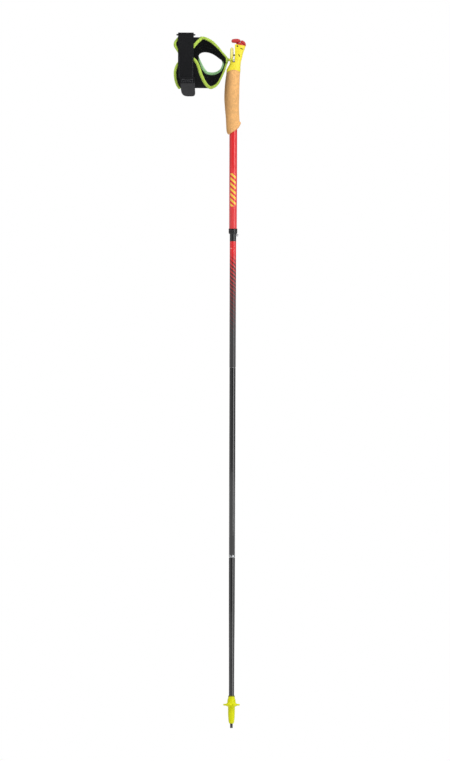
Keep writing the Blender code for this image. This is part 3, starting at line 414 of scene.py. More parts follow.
def cork_finish():
    """Pressed cork: pale granules, darker ones between, and pits; painted shade down its back,
    strongest near the top.
    """
    finish = Finish("cork", 0.82)
    tree = finish.tree
    cork = tuple(colours().cork)
    stretched = add(tree, "ShaderNodeMapping", Vector=finish.place, Scale=(1.0, 1.0, 0.8))
    grains = stretched.outputs[0]
    granules = add(tree, "ShaderNodeTexVoronoi", Vector=grains, Scale=420.0)
    pick = maths(tree, "FRACT", maths(tree, "MULTIPLY", granules.outputs["Color"], 3.7))
    base = mixed(tree, pick, tone(cork, 0.86), tone(cork, 1.10))
    flecks = add(tree, "ShaderNodeTexNoise", Vector=grains, Scale=520.0, Detail=5.0)
    dark = remap(tree, flecks.outputs["Fac"], 0.64, 0.74)
    base = mixed(tree, dark, base, tone(cork, 0.34))
    handled = add(tree, "ShaderNodeTexNoise", Vector=finish.place, Scale=28.0, Detail=3.0)
    shade = remap(tree, handled.outputs["Fac"], 0.35, 0.75, 0.0, 0.28)
    # Painted shade: the back of the cork is darkened, most near the head, fading out towards the
    # front.
    shade_foot, shade_top, shade_rear, shade_edge = 1.110, 1.172, -0.0135, -0.0008
    x, _, z = finish.axes()
    shade_strength = remap(tree, z, shade_foot, shade_top, 0.30, 0.76)
    painted_back_shade = remap(tree, x, shade_rear, shade_edge, shade_strength, 0.0)
    base = mixed(tree, painted_back_shade, base, tone(cork, 0.16))
    finish.set("Base Color", mixed(tree, shade, base, tone(cork, 0.62)))
    finish.set("Roughness", remap(tree, flecks.outputs["Fac"], 0.3, 0.7, 0.72, 0.92))
    edges = remap(tree, granules.outputs["Distance"], 0.0, 0.5, 1.0, 0.0)
    height = maths(tree, "SUBTRACT", edges, maths(tree, "MULTIPLY", dark, 1.2))
    return finish.bump(height, 0.00025, 0.7).material


def cloth_finish(name, colour, pitch, depth, holes=0.0, sheen=0.02):
    """Woven or knitted cloth on the piece's own UV map, which is in metres."""
    sheen = {"Sheen_Weight": sheen, "Sheen_Roughness": 0.5}
    finish = Finish(name, 0.86, Specular_IOR_Level=0.12, **sheen)
    tree = finish.tree
    cloth = use(tree, "weave", Vector=finish.uv, Pitch=pitch)
    base = mixed(tree, cloth.outputs["Height"], tone(colour, 0.55), tone(colour, 1.7))
    worn = remap(tree, finish.grain(700.0)[1], 0.35, 0.8, 0.0, 0.3)
    base = mixed(tree, worn, base, tone(colour, 2.0))
    if holes:
        gap = maths(tree, "MULTIPLY", cloth.outputs["Holes"], holes)
        base = mixed(tree, gap, base, tone(colour, 0.12))
        sparse = add(tree, "ShaderNodeTexNoise", Vector=finish.uv, Scale=420.0, Detail=1.0)
        few = remap(tree, sparse.outputs["Fac"], 0.60, 0.66)
        glint = maths(tree, "MULTIPLY", cloth.outputs["Holes"], few)
        base = mixed(tree, glint, base, (0.20, 0.22, 0.20))
    finish.set("Base Color", base)
    height = maths(tree, "SUBTRACT", cloth.outputs["Height"], cloth.outputs["Holes"])
    return finish.bump(height, depth, 0.8).material


def hole_tape_finish(lime, cloth):
    """Tape round the hand hole: mint below, running to black along the top edge."""
    finish = Finish("hole tape", 0.84, Sheen_Weight=0.05, Specular_IOR_Level=0.25)
    tree = finish.tree
    weave = use(tree, "weave", Vector=finish.uv, Pitch=0.0006)
    mint = (lime[0], min(1.0, lime[1] * 1.35), lime[2] * 4.6)
    pale = mixed(tree, weave.outputs["Height"], tone(mint, 0.75), tone(mint, 1.15))
    x, _, z = finish.axes()
    tape_slope, black_from, black_to = 0.16, LOOP_Z - 0.011, LOOP_Z - 0.005
    slant = maths(tree, "ADD", z, maths(tree, "MULTIPLY", x, tape_slope))
    upper = remap(tree, slant, black_from, black_to)
    finish.set("Base Color", mixed(tree, upper, pale, tone(cloth, 1.6)))
    return finish.bump(weave.outputs["Height"], 0.0001, 0.7).material


def cord_finish(name, colour):
    """Braided sheath: two sets of slanted strands."""
    finish = Finish(name, 0.7, Sheen_Weight=0.2)
    tree = finish.tree
    x, y, z = finish.axes()
    strands = 5200.0
    rise = maths(tree, "MULTIPLY", z, strands)
    spread = maths(tree, "MULTIPLY", maths(tree, "ADD", x, y), strands)
    one = maths(tree, "SINE", maths(tree, "ADD", rise, spread))
    two = maths(tree, "SINE", maths(tree, "SUBTRACT", rise, spread))
    braid = remap(tree, maths(tree, "MULTIPLY", one, two), -1.0, 1.0)
    finish.set("Base Color", mixed(tree, braid, tone(colour, 0.7), tone(colour, 1.15)))
    return finish.bump(braid, 0.0001, 0.5).material


# Mesh helpers

# Degrees up to which an edge is shaded smooth
CRISP, EASED, ROUNDED, SOFT = 38.0, 50.0, 60.0, 80.0


def placed(name, data):
    """A new object in the scene."""
    obj = bpy.data.objects.new(name, data)
    bpy.context.scene.collection.objects.link(obj)
    return obj


def finished(build, name):
    """A mesh from a bmesh, with its faces turned outwards."""
    bmesh.ops.recalc_face_normals(build, faces=build.faces)
    mesh = bpy.data.meshes.new(name)
    build.to_mesh(mesh)
    build.free()
    return mesh


def keep(name, mesh, material, body, stands_for=(), smooth_angle=CRISP):
    """A finished mesh as a piece on a body, in place of the solids that it stands for.

    A piece with no body is left free.
    """
    piece = placed(name, mesh)
    mesh.materials.clear()
    mesh.materials.append(material)
    mesh.shade_smooth()
    mesh.set_sharp_from_angle(angle=math.radians(smooth_angle))
    if body:
        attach(piece, body)
    if stands_for:
        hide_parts(*stands_for)
    return piece


def plain_mesh(obj):
    """The evaluated mesh of a helper object, which is then removed."""
    bpy.context.view_layer.update()
    evaluated = obj.evaluated_get(bpy.context.evaluated_depsgraph_get())
    mesh = bpy.data.meshes.new_from_object(evaluated)
    mesh.transform(obj.matrix_world)
    bpy.data.objects.remove(obj, do_unlink=True)
    return mesh


def cut(obj, cutter):
    opening = obj.modifiers.new("opening", "BOOLEAN")
    opening.operation = "DIFFERENCE"
    opening.solver = "EXACT"
    opening.object = cutter


def even(obj, voxel):
    remesh = obj.modifiers.new("even", "REMESH")
    remesh.mode = "VOXEL"
    remesh.voxel_size = voxel


def carved(mesh, cutter):
    """The mesh with the cutter taken out of it; the cutter is then removed."""
    helper = placed("carved_form", mesh)
    cut(helper, cutter)
    result = plain_mesh(helper)
    bpy.data.objects.remove(cutter, do_unlink=True)
    return result


def solid_copy(node):
    """The solid's own mesh with its points merged."""
    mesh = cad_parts[node].data.copy()
    build = bmesh.new()
    build.from_mesh(mesh)
    bmesh.ops.remove_doubles(build, verts=build.verts, dist=1e-6)
    bmesh.ops.dissolve_limit(build, angle_limit=0.002, verts=build.verts, edges=build.edges)
    build.to_mesh(mesh)
    build.free()
    return mesh


def moulded(name, node, body, material, slot, voxel, passes, cutters=(), held=None):
    """A solid with its edges run soft, as a moulding's are, apart from points that are held."""
    helper = placed(name + "_form", solid_copy(node))
    for cutter in cutters:
        cut(helper, cutter)
    even(helper, voxel)
    mesh = plain_mesh(helper)
    for cutter in cutters:
        bpy.data.objects.remove(cutter, do_unlink=True)
    build = bmesh.new()
    build.from_mesh(mesh)
    free = [v for v in build.verts if held is None or not held(v.co)]
    for _ in range(passes):
        bmesh.ops.smooth_vert(
            build, verts=free, factor=0.5, use_axis_x=True, use_axis_y=True, use_axis_z=True
        )
    build.to_mesh(mesh)
    build.free()
    return keep(name, mesh, material, body, (node,), smooth_angle=SOFT)


def loft(rings, capped=False):
    """Rings of points joined in order, with end faces or with the last ring joined to the first."""
    build = bmesh.new()
    rows = [[build.verts.new(p) for p in ring] for ring in rings]
    for first, second in zip(rows, rows[1:] if capped else rows[1:] + rows[:1]):
        for k in range(len(first)):
            j = (k + 1) % len(first)
            build.faces.new((first[k], first[j], second[j], second[k]))
    if capped:
        build.faces.new(rows[0])
        build.faces.new(rows[-1])
    return finished(build, "loft")


def dressed(name, node, body, material):
    """A solid kept as it is, with smooth rounds and crisp edges."""
    return keep(name, solid_copy(node), material, body, (node,))


def eased(profile, radius, steps=3):
    """A closed profile of (radius, height) points with each corner rounded."""
    points = []
    count = len(profile)
    for i, corner in enumerate(profile):
        here = Vector(corner)
        before, after = Vector(profile[i - 1]) - here, Vector(profile[(i + 1) % count]) - here
        reach = min(radius, before.length * 0.45, after.length * 0.45)
        start, end = here + before.normalized() * reach, here + after.normalized() * reach
        for k in range(steps + 1):
            t = k / steps
            points.append(start * (1 - t) ** 2 + here * 2 * t * (1 - t) + end * t * t)
    return points


def turned(profile, segments=72):
    """A closed profile turned about Z."""
    rings = []
    for angle in around(segments):
        c, s = math.cos(angle), math.sin(angle)
        rings.append([(r * c, r * s, z) for r, z in profile])
    mesh = loft(rings)
    mesh.name = "turned"
    return mesh


def lathe_piece(name, node, body, material, profile, rounding):
    return keep(name, turned(eased(profile, rounding)), material, body, (node,))


def span(node):
    """Lowest and highest Z and the greatest radius of a round solid."""
    low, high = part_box(node)
    return low[2], high[2], high[0]


def around(steps):
    """Angles at even steps round a turn."""
    return [2 * math.pi * k / steps for k in range(steps)]


def fuller(value, fullness):
    """A sine or cosine pushed outwards: 2 gives an oval, and more comes nearer to a box."""
    return math.copysign(abs(value) ** (2 / fullness), value)


def ease(share):
    """A share from 0 to 1 that starts and ends gently."""
    share = min(1.0, max(0.0, share))
    return share * share * (3 - 2 * share)


def smooth_line(rows, at):
    """Smooth reading of rows that start with a rising place."""
    if at <= rows[0][0]:
        return rows[0][1:]
    if at >= rows[-1][0]:
        return rows[-1][1:]
    i = max(k for k in range(len(rows) - 1) if rows[k][0] <= at)
    width = rows[i + 1][0] - rows[i][0]
    t = (at - rows[i][0]) / width
    values = []
    for column in range(1, len(rows[0])):
        a, b = rows[i][column], rows[i + 1][column]
        slope_a = slope(rows, i, column) * width
        slope_b = slope(rows, i + 1, column) * width
        values.append(
            (2 * t**3 - 3 * t**2 + 1) * a
            + (t**3 - 2 * t**2 + t) * slope_a
            + (3 * t**2 - 2 * t**3) * b
            + (t**3 - t**2) * slope_b
        )
    return tuple(values)


def slope(rows, i, column):
    if i in (0, len(rows) - 1):
        return 0.0
    return (rows[i + 1][column] - rows[i - 1][column]) / (rows[i + 1][0] - rows[i - 1][0])


# Pieces of the pole


class POLE_OT_shaft(bpy.types.Operator):
    """Tubes, joint ring and lock collar"""

    bl_idname = "pole.shaft"
    bl_label = "Shaft"

    def execute(self, context):
        carbon = carbon_finish()
        wall, edge = 0.0009, 0.0003  # of every tube: its wall, and the rounding of its ends
        for name, material, body, slot in (
            ("upper_tube", upper_tube_finish(), "grip_section", "red_paint"),
            ("middle_tube", carbon, "middle_section", "carbon"),
        ):
            foot, top, radius = span(name)
            profile = [(radius, top), (radius, foot), (radius - wall, foot), (radius - wall, top)]
            lathe_piece(name + "_shell", name, body, material, profile, edge)
        self.slide_tube(wall, edge)
        self.lower_tube(carbon, wall, edge)
        self.joint_ring()
        self.lock_collar(edge)
        return {"FINISHED"}

    def joint_ring(self):
        """The bright ring at the top of the lower tube, with the spigot that seats it."""
        bright = metal("bright aluminium", (0.46, 0.47, 0.48), 0.16)
        foot, top, radius = span("joint_ring")
        shoulder, bore, spigot = top - 0.0040, 0.0036, 0.0043
        profile = [
            (radius, top),
            (radius, shoulder),
            (spigot, shoulder),
            (spigot, foot),
            (bore, foot),
            (bore, top),
        ]
        lathe_piece(
            "joint_ring_bright", "joint_ring", "lower_section", bright, profile, 0.0004
        )

    def lock_collar(self, edge):
        """The collar at the foot of the upper tube, with a groove round it."""
        black = plastic("collar black", (0.006, 0.006, 0.0065), 0.24)
        foot, top, radius = span("lock_collar")
        seat, bore, lip = top - 0.0053, 0.0061, 0.0073
        groove, groove_top, groove_foot = 0.0002, top - 0.0034, top - 0.0044
        groove_slope, chamfer, chamfer_height = 0.0003, 0.0006, 0.0022
        profile = [
            (radius, top),
            (radius, groove_top),
            (radius - groove, groove_top - groove_slope),
            (radius - groove, groove_foot + groove_slope),
            (radius, groove_foot),
            (radius, foot + chamfer_height),
            (radius - chamfer, foot),
            (bore, foot),
            (bore, seat),
            (lip, seat),
            (lip, top),
        ]
        lathe_piece(
            "lock_collar_ring", "lock_collar", "grip_section", black, profile, edge
        )

    def slide_tube(self, wall, edge):
        """The sliding tube, with the hole that its lock button stands in."""
        foot, top, radius = span("slide_tube")
        low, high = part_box("lock_button")
        level, around_hole, hole = (low[2] + high[2]) / 2, 0.0040, 0.0024
        outside = [(radius, z) for z in (top, level + around_hole, level - around_hole, foot)]
        profile = outside + [(r - wall, z) for r, z in reversed(outside)]
        build = bmesh.new()
        turn = Matrix.Translation((radius, 0, level)) @ Matrix.Rotation(math.pi / 2, 4, "Y")
        drill = {"radius1": hole, "radius2": hole, "depth": 0.006, "segments": 40}
        bmesh.ops.create_cone(build, cap_ends=True, matrix=turn, **drill)
        cutter = placed("hole", finished(build, "hole"))
        tube = carved(turned(eased(profile, edge)), cutter)
        red = slide_tube_finish()
        keep("slide_tube_shell", tube, red, "slide_section", ("slide_tube",))

    def lower_tube(self, carbon, wall, edge):
        """The lowest tube, which tapers to the tip."""
        foot, top, radius = span("lower_tube")
        outside = [
            (radius, top),
            (0.0053, 0.209),
            (0.0051, 0.165),
            (0.0049, 0.129),
            (0.0047, 0.059),
            (0.0047, foot),
        ]
        profile = outside + [(r - wall, z) for r, z in reversed(outside)]
        lathe_piece(
            "lower_tube_shell", "lower_tube", "lower_section", carbon, profile, edge
        )


class POLE_OT_tip(bpy.types.Operator):
    """Tip holder, basket and carbide point"""

    bl_idname = "pole.tip"
    bl_label = "Tip"

    def execute(self, context):
        yellow = tip_finish()
        foot, top, radius = span("tip_holder")
        profile = [
            (0.0057, top),
            (radius, top - 0.0040),
            (radius, foot + 0.0200),
            (0.0058, foot + 0.0105),
            (0.0051, foot + 0.0036),
            (0.0040, foot),
            (0.0027, foot),
            (0.0027, foot + 0.0143),
            (0.0029, foot + 0.0143),
            (0.0029, foot + 0.0155),
            (0.0050, foot + 0.0155),
            (0.0050, top),
        ]
        body, slot = "lower_section", "neon_plastic"
        lathe_piece("tip_holder_shell", "tip_holder", body, yellow, profile, 0.0005)
        plate = self.basket()
        keep("basket_plate", plate, yellow, body, ("basket",), EASED)
        dark = plastic("sintered carbide", (0.075, 0.075, 0.08), 0.5, 2600.0, 0.00006, Metallic=0.8)
        dressed("carbide_point", "carbide_tip", body, dark)
        return {"FINISHED"}

    def basket(self):
        """Hub that runs out into a plate with a full rim, scalloped between its lobes."""
        foot, top, reach = span("basket")
        bore = span("tip_holder")[2] + 0.0003
        flange = bore + 0.0036
        hub = [
            (bore, foot, 0.0),
            (bore, top, 0.0),
            (bore + 0.0005, top, 0.0),
            (bore + 0.0009, foot + 0.0094, 0.0),
            (bore + 0.0011, foot + 0.0074, 0.0),
            (bore + 0.0019, foot + 0.0060, 0.0),
        ]
        plate = [(0.0, 0.0018), (0.45, 0.0014), (0.80, 0.0016), (0.93, 0.0014), (1.0, 0.0006)]
        middle = foot + 0.0034
        upper = [(flange, middle + half, share) for share, half in plate]
        lower = [(flange, middle - half, share) for share, half in reversed(plate)]
        underside = [(bore + 0.0016, foot + 0.0006, 0.0), (bore + 0.0010, foot, 0.0)]
        profile = hub + upper + lower + underside
        steps, lobes, notch, beyond = 216, 6, 0.0030, 0.25
        rims = []
        for k in range(steps):
            off = abs(((k / steps * lobes) % 1.0) - 0.5) * 2 * math.pi / lobes
            centre = reach + notch * beyond
            side = centre * math.sin(off)
            bite = math.sqrt(notch**2 - side**2) if side < notch else None
            rims.append(reach if bite is None else min(reach, centre * math.cos(off) - bite))
        rings = []
        for r, z, share in profile:
            ring = []
            for k, angle in enumerate(around(steps)):
                rim = sum(rims[(k + d) % steps] for d in (-2, -1, 0, 1, 2)) / 5
                across = r + (rim - r) * share
                ring.append(Vector((across * math.cos(angle), across * math.sin(angle), z)))
            rings.append(ring)
        return loft(rings)


# Cork sleeve: share of its height, back, front, half width, slant of the section
CORK_SECTIONS = [
    (0.020, 0.0085, 0.0093, 0.0098, 0.66),
    (0.034, 0.0098, 0.0109, 0.0107, 0.66),
    (0.060, 0.0112, 0.0132, 0.0114, 0.66),
    (0.085, 0.0120, 0.0136, 0.0119, 0.66),
    (0.112, 0.0125, 0.0126, 0.0123, 0.55),
    (0.150, 0.0130, 0.0115, 0.0126, 0.33),
    (0.260, 0.0138, 0.0108, 0.0130, 0.13),
    (0.400, 0.0155, 0.0103, 0.0135, 0.0),
    (0.540, 0.0165, 0.0106, 0.0135, 0.0),
    (0.680, 0.0161, 0.0108, 0.0135, 0.0),
    (0.820, 0.0148, 0.0112, 0.0131, 0.0),
    (0.930, 0.0130, 0.0118, 0.0127, 0.0),
    (1.000, 0.0120, 0.0125, 0.0126, 0.0),
]
# Lever cap and crown pad, across the head: forward, lowest, highest, half width, in millimetres
LEVER_SECTIONS = [
    (-3.9, 50.8, 52.2, 4.2),
    (-3.6, 49.8, 53.2, 5.4),
    (-2.9, 48.9, 54.2, 6.2),
    (-1.6, 48.4, 55.0, 6.7),
    (0.5, 48.3, 55.5, 6.8),
    (3.0, 48.1, 55.8, 6.8),
    (6.0, 48.0, 55.9, 6.8),
    (8.5, 48.3, 55.6, 6.8),
    (10.6, 48.9, 54.8, 6.7),
    (11.9, 49.3, 54.0, 6.6),
    (12.45, 49.8, 53.2, 6.3),
    (12.62, 50.6, 52.4, 5.6),
]
PAD_SECTIONS = [
    (12.85, 48.9, 51.2, 6.6),
    (13.1, 48.4, 52.1, 7.4),
    (13.7, 47.9, 52.7, 7.9),
    (15.0, 47.0, 52.9, 8.0),
    (16.8, 45.8, 52.6, 8.0),
    (18.6, 44.5, 51.7, 8.0),
    (20.2, 43.4, 50.2, 7.9),
    (21.4, 42.8, 48.4, 7.7),
    (22.1, 42.6, 46.6, 7.2),
    (22.4, 43.4, 45.2, 6.4),
]
# Strap hook: height over the cork, back, front, half width, in millimetres
HOOK_SECTIONS = [
    (10.0, -6.3, -0.9, 5.0),
    (12.7, -6.35, -0.9, 5.0),
    (19.5, -6.35, -0.9, 5.0),
    (22.0, -6.3, -0.35, 5.0),
    (24.0, -6.3, -0.05, 4.95),
    (30.0, -6.2, -0.05, 4.8),
    (35.0, -6.1, -0.15, 4.6),
    (37.5, -5.9, -0.4, 4.3),
    (38.8, -5.4, -0.9, 3.8),
    (39.5, -4.6, -1.8, 2.8),
    (39.8, -3.6, -2.9, 1.2),
]
# Crown saddle and slot liner, as outlines seen from the side: forward and above, in millimetres
SADDLE_OUTLINE = [
    (8.2, 46.2),
    (8.2, 47.9),
    (12.5, 49.1),
    (12.8, 49.5),
    (12.9, 51.6),
    (13.6, 52.0),
    (15.2, 50.0),
    (15.6, 46.0),
]
LINER_OUTLINE = [
    (-1.2, 12.3),
    (2.6, 12.3),
    (2.6, 23.2),
    (1.95, 23.2),
    (1.92, 15.4),
    (1.3, 14.8),
    (0.1, 14.8),
    (-0.7, 15.4),
    (-1.2, 15.6),
]
# Moulded slots on the head's cheeks: forward, height, length, turn in degrees, half width there
RECESSES = ((0.0144, 1.2321, 0.0052, 22, 0.0084), (0.0102, 1.2198, 0.0056, 62, 0.0092))
CORK_FOOT, CORK_HEIGHT, CORK_BORE = 1.0796, 0.1147, 0.0073
CORK_FULLNESS, HEAD_FULLNESS, CAP_FULLNESS = 2.3, 3.0, 3.4
CORK_STEPS = 112


def cork_point(share, angle, proud=0.0):
    """A point on the cork: angle 0 is its front."""
    back, front, half, slant = smooth_line(CORK_SECTIONS, share)
    c, s = math.cos(angle), math.sin(angle)
    reach = (front + back) / 2 + proud
    x = (front - back) / 2 + reach * fuller(c, CORK_FULLNESS)
    y = (half + proud) * fuller(s, CORK_FULLNESS)
    return Vector((x, y, CORK_FOOT + share * CORK_HEIGHT + slant * x))


class POLE_OT_grip(bpy.types.Operator):
    """Cork sleeve, moulded head and crown pad"""

    bl_idname = "pole.grip"
    bl_label = "Grip"

    def execute(self, context):
        self.cork()
        yellow = plastic("head yellow", tuple(colours().head), 0.42)
        shell = two_shot_finish()
        self.head(shell)
        self.hook(shell)
        self.skirt(yellow)
        # The floors set into the head's slots are near-black: painted shade inside the recesses.
        dark = plastic("recess painted shade", (0.020, 0.018, 0.006), 0.6)
        for k, form in enumerate(self.recesses(0.0048)):
            mesh = form.data.copy()
            bpy.data.objects.remove(form, do_unlink=True)
            self.fixed(f"recess_floor_{k + 1}", mesh, dark, "black_plastic", EASED)
        self.crown()
        # The slot liner between hook and head is dark brown: painted shade inside the slot.
        slot_shade = plastic("slot liner", (0.075, 0.050, 0.010), 0.6)
        liner = self.block(LINER_OUTLINE, 0.0040)
        self.fixed("slot_liner", liner, slot_shade, "black_plastic", ROUNDED)
        self.pin_heads()
        return {"FINISHED"}

    def fixed(self, name, mesh, material, slot, smooth_angle):
        """A piece of trim on the grip, which stands for no solid."""
        keep(name, mesh, material, "grip_section", smooth_angle=smooth_angle)

    def head(self, shell):
        """The head's moulding, cut away where the hook stands and held flat at its foot."""
        held_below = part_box("grip_head")[0][2] + 0.0012
        cutters = self.recesses()
        low, high = (-0.030, -0.020, HEAD_Z + 0.0134), (0.0006, 0.020, HEAD_Z + 0.060)
        cutters.append(self.box(low, high))
        moulded(
            "head_moulding",
            "grip_head",
            "grip_section",
            shell,
            "neon_plastic",
            voxel=0.00030,
            passes=3,
            cutters=cutters,
            held=lambda co: co.z < held_below,
        )

    def crown(self):
        """Lever, pad and the saddle between them, with the slot that the lever swings in."""
        red = plastic("soft red", tuple(colours().lever), 0.46, 1800.0, 0.00006)
        cap, pad = self.cushion(LEVER_SECTIONS), self.cushion(PAD_SECTIONS)
        lever = ("release_lever",)
        keep("lever_cap", cap, red, "release_lever", lever, ROUNDED)
        shank = self.shank()
        keep("lever_shank", shank, red, "release_lever", smooth_angle=EASED)
        keep("crown_pad_soft", pad, red, "grip_section", ("crown_pad",), ROUNDED)
        low, high = (0.004, -0.0031, HEAD_Z + 0.0440), (0.0124, 0.0031, HEAD_Z + 0.0500)
        saddle = carved(self.block(SADDLE_OUTLINE, 0.0066), self.box(low, high))
        self.fixed("crown_saddle", saddle, red, "red_plastic", ROUNDED)

    def cushion(self, sections):
        """A full, closed form through sections across the head."""
        places = self.steps(sections)
        return loft([self.section(x, *smooth_line(sections, x)) for x in places], True)

    def steps(self, sections, count=48):
        """Positions along a run of sections, closer together near its ends."""
        first, last = sections[0][0], sections[-1][0]
        middle, half = (first + last) / 2, (last - first) / 2
        return [middle - half * math.cos(math.pi * k / count) for k in range(count + 1)]

    def section(self, x, low, high, half):
        """A full oval across the head: its place and sizes in millimetres."""
        ring = []
        for a in around(72):
            c, s = math.cos(a), math.sin(a)
            y = half * fuller(c, CAP_FULLNESS)
            z = (low + high) / 2 + (high - low) / 2 * fuller(s, HEAD_FULLNESS)
            ring.append(Vector((x / 1000, y / 1000, HEAD_Z + z / 1000)))
        return ring

    def shank(self):
        """The lever's hub and arm, cut out from under its cap."""
        mesh = solid_copy("release_lever")
        build = bmesh.new()
        build.from_mesh(mesh)
        top, half = HEAD_Z + 0.0492, 0.0026
        for place, away in (
            ((0, 0, top), (0, 0, 1)),
            ((0, half, 0), (0, 1, 0)),
            ((0, -half, 0), (0, -1, 0)),
        ):
            geometry = list(build.verts) + list(build.edges) + list(build.faces)
            trimmed = bmesh.ops.bisect_plane(
                build, geom=geometry, plane_co=place, plane_no=away, clear_outer=True
            )
            edges = [e for e in trimmed["geom_cut"] if isinstance(e, bmesh.types.BMEdge)]
            bmesh.ops.holes_fill(build, edges=edges)
        build.to_mesh(mesh)
        build.free()
        return mesh

    def hook(self, shell):
        """The finger that holds the strap loop, with the socket for the latch in it."""
        rings = []
        for height in self.steps(HOOK_SECTIONS, 60):
            back, front, half = smooth_line(HOOK_SECTIONS, height)
            ring = []
            for a in around(72):
                c, s = math.cos(a), math.sin(a)
                x = (front + back) / 2 + (front - back) / 2 * fuller(c, HEAD_FULLNESS)
                y = half * fuller(s, HEAD_FULLNESS)
                ring.append(Vector((x / 1000, y / 1000, HEAD_Z + height / 1000)))
            rings.append(ring)
        low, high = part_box("latch_bolt")
        gap, open_end = 0.0003, 0.004
        low = (low[0] - 2 * gap, low[1] - gap, low[2] - gap)
        socket = self.box(low, (open_end, high[1] + gap, high[2] + gap))
        self.fixed("strap_hook", carved(loft(rings, True), socket), shell, "neon_plastic", EASED)

    def box(self, low, high):
        """A plain block to cut with."""
        build = bmesh.new()
        bmesh.ops.create_cube(build, size=1.0)
        for v in build.verts:
            v.co = [(a + b) / 2 + c * (b - a) for a, b, c in zip(low, high, v.co)]
        return placed("cut", finished(build, "cut"))

    def pin_heads(self):
        """Domed ends of the lever's pin, over its holes."""
        steel = metal("pin black", (0.05, 0.045, 0.035), 0.45, 1)
        low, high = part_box("lever_pin")
        x, z = (low[0] + high[0]) / 2, (low[2] + high[2]) / 2
        dome = [
            (0.0076, 0.00150),
            (0.0091, 0.00155),
            (0.0094, 0.00135),
            (0.00955, 0.0009),
            (0.0096, 0.0003),
        ]
        for name, side in (("near", -1), ("far", 1)):
            rings = []
            for y, r in dome:
                spots = [(x + r * math.cos(a), z + r * math.sin(a)) for a in around(40)]
                rings.append([Vector((at, side * y, level)) for at, level in spots])
            self.fixed(f"pin_head_{name}", loft(rings, True), steel, "steel", EASED)

    def block(self, outline, half):
        """A slab with eased edges; its outline is in millimetres forward and above the cork."""
        build = bmesh.new()
        rows = []
        for side in (-half, half):
            rows.append([build.verts.new((x / 1000, side, HEAD_Z + z / 1000)) for x, z in outline])
        count = len(outline)
        for k in range(count):
            j = (k + 1) % count
            build.faces.new((rows[0][k], rows[0][j], rows[1][j], rows[1][k]))
        for row in rows:
            build.faces.new(row)
        bmesh.ops.recalc_face_normals(build, faces=build.faces)
        edge = {"offset": 0.00022, "segments": 2, "profile": 0.5}
        bmesh.ops.bevel(build, geom=build.edges, affect="EDGES", **edge)
        return finished(build, "block")

    def cork(self):
        """The sleeve, with rings closer together at its foot and a bore for the tube."""
        first, last = CORK_SECTIONS[0][0], CORK_SECTIONS[-1][0]
        rows, crowding = 70, 1.15
        shares = [first + (last - first) * (k / rows) ** crowding for k in range(rows + 1)]
        rings = [[cork_point(share, a) for a in around(CORK_STEPS)] for share in shares]
        for share in (last, first):
            slant = smooth_line(CORK_SECTIONS, share)[3]
            ring = []
            for a in around(CORK_STEPS):
                x, y = CORK_BORE * math.cos(a), CORK_BORE * math.sin(a)
                ring.append(Vector((x, y, CORK_FOOT + share * CORK_HEIGHT + slant * x)))
            rings.append(ring)
        cork = cork_finish()
        keep("cork_sleeve", loft(rings), cork, "grip_section", ("cork_grip",))

    def recesses(self, inset=0.0):
        """Forms of the moulded slots on both cheeks of the head, set in by a depth."""
        forms = []
        depth, height, proud = 0.0050, 0.0018, 0.0015
        round_end = {"offset": 0.0007, "segments": 3, "profile": 0.5}
        for x, z, length, turn, cheek in RECESSES:
            for side in (-1, 1):
                build = bmesh.new()
                bmesh.ops.create_cube(build, size=1.0)
                bmesh.ops.scale(build, vec=(length, depth, height), verts=build.verts)
                edges = [e for e in build.edges if abs((e.verts[0].co - e.verts[1].co).y) > 0.001]
                bmesh.ops.bevel(build, geom=edges, affect="EDGES", **round_end)
                mesh = finished(build, "recess")
                mesh.transform(Matrix.Rotation(math.radians(turn), 4, "Y"))
                mesh.transform(Matrix.Translation((x, side * (cheek + proud - inset), z)))
                forms.append(placed("recess", mesh))
        return forms

    def skirt(self, yellow):
        """Lip of the head that laps over the cork, deeper at the back."""
        least, behind, before, curve = 0.0004, 0.0056, 0.0046, 1.7
        over_cork = Vector((0, 0, 0.0009))
        rows = [[], [], [], []]
        for a in around(CORK_STEPS):
            forward = math.cos(a)
            drop = least + (behind if forward < 0 else before) * abs(forward) ** curve
            low = 1.0 - drop / CORK_HEIGHT
            rows[0].append(cork_point(low, a, -0.0002))
            rows[1].append(cork_point(low + 0.002, a, 0.00035))
            rows[2].append(cork_point(1.0, a, 0.00030) + over_cork)
            rows[3].append(cork_point(1.0, a, -0.0006) + over_cork)
        self.fixed("head_skirt", loft(rows), yellow, "neon_plastic", EASED)


# Shares of their length that the squashed pieces keep at the end of a joint's travel
BUTTON_KEPT, SPRING_KEPT, CORD_KEPT = 0.42, 0.26, 0.57


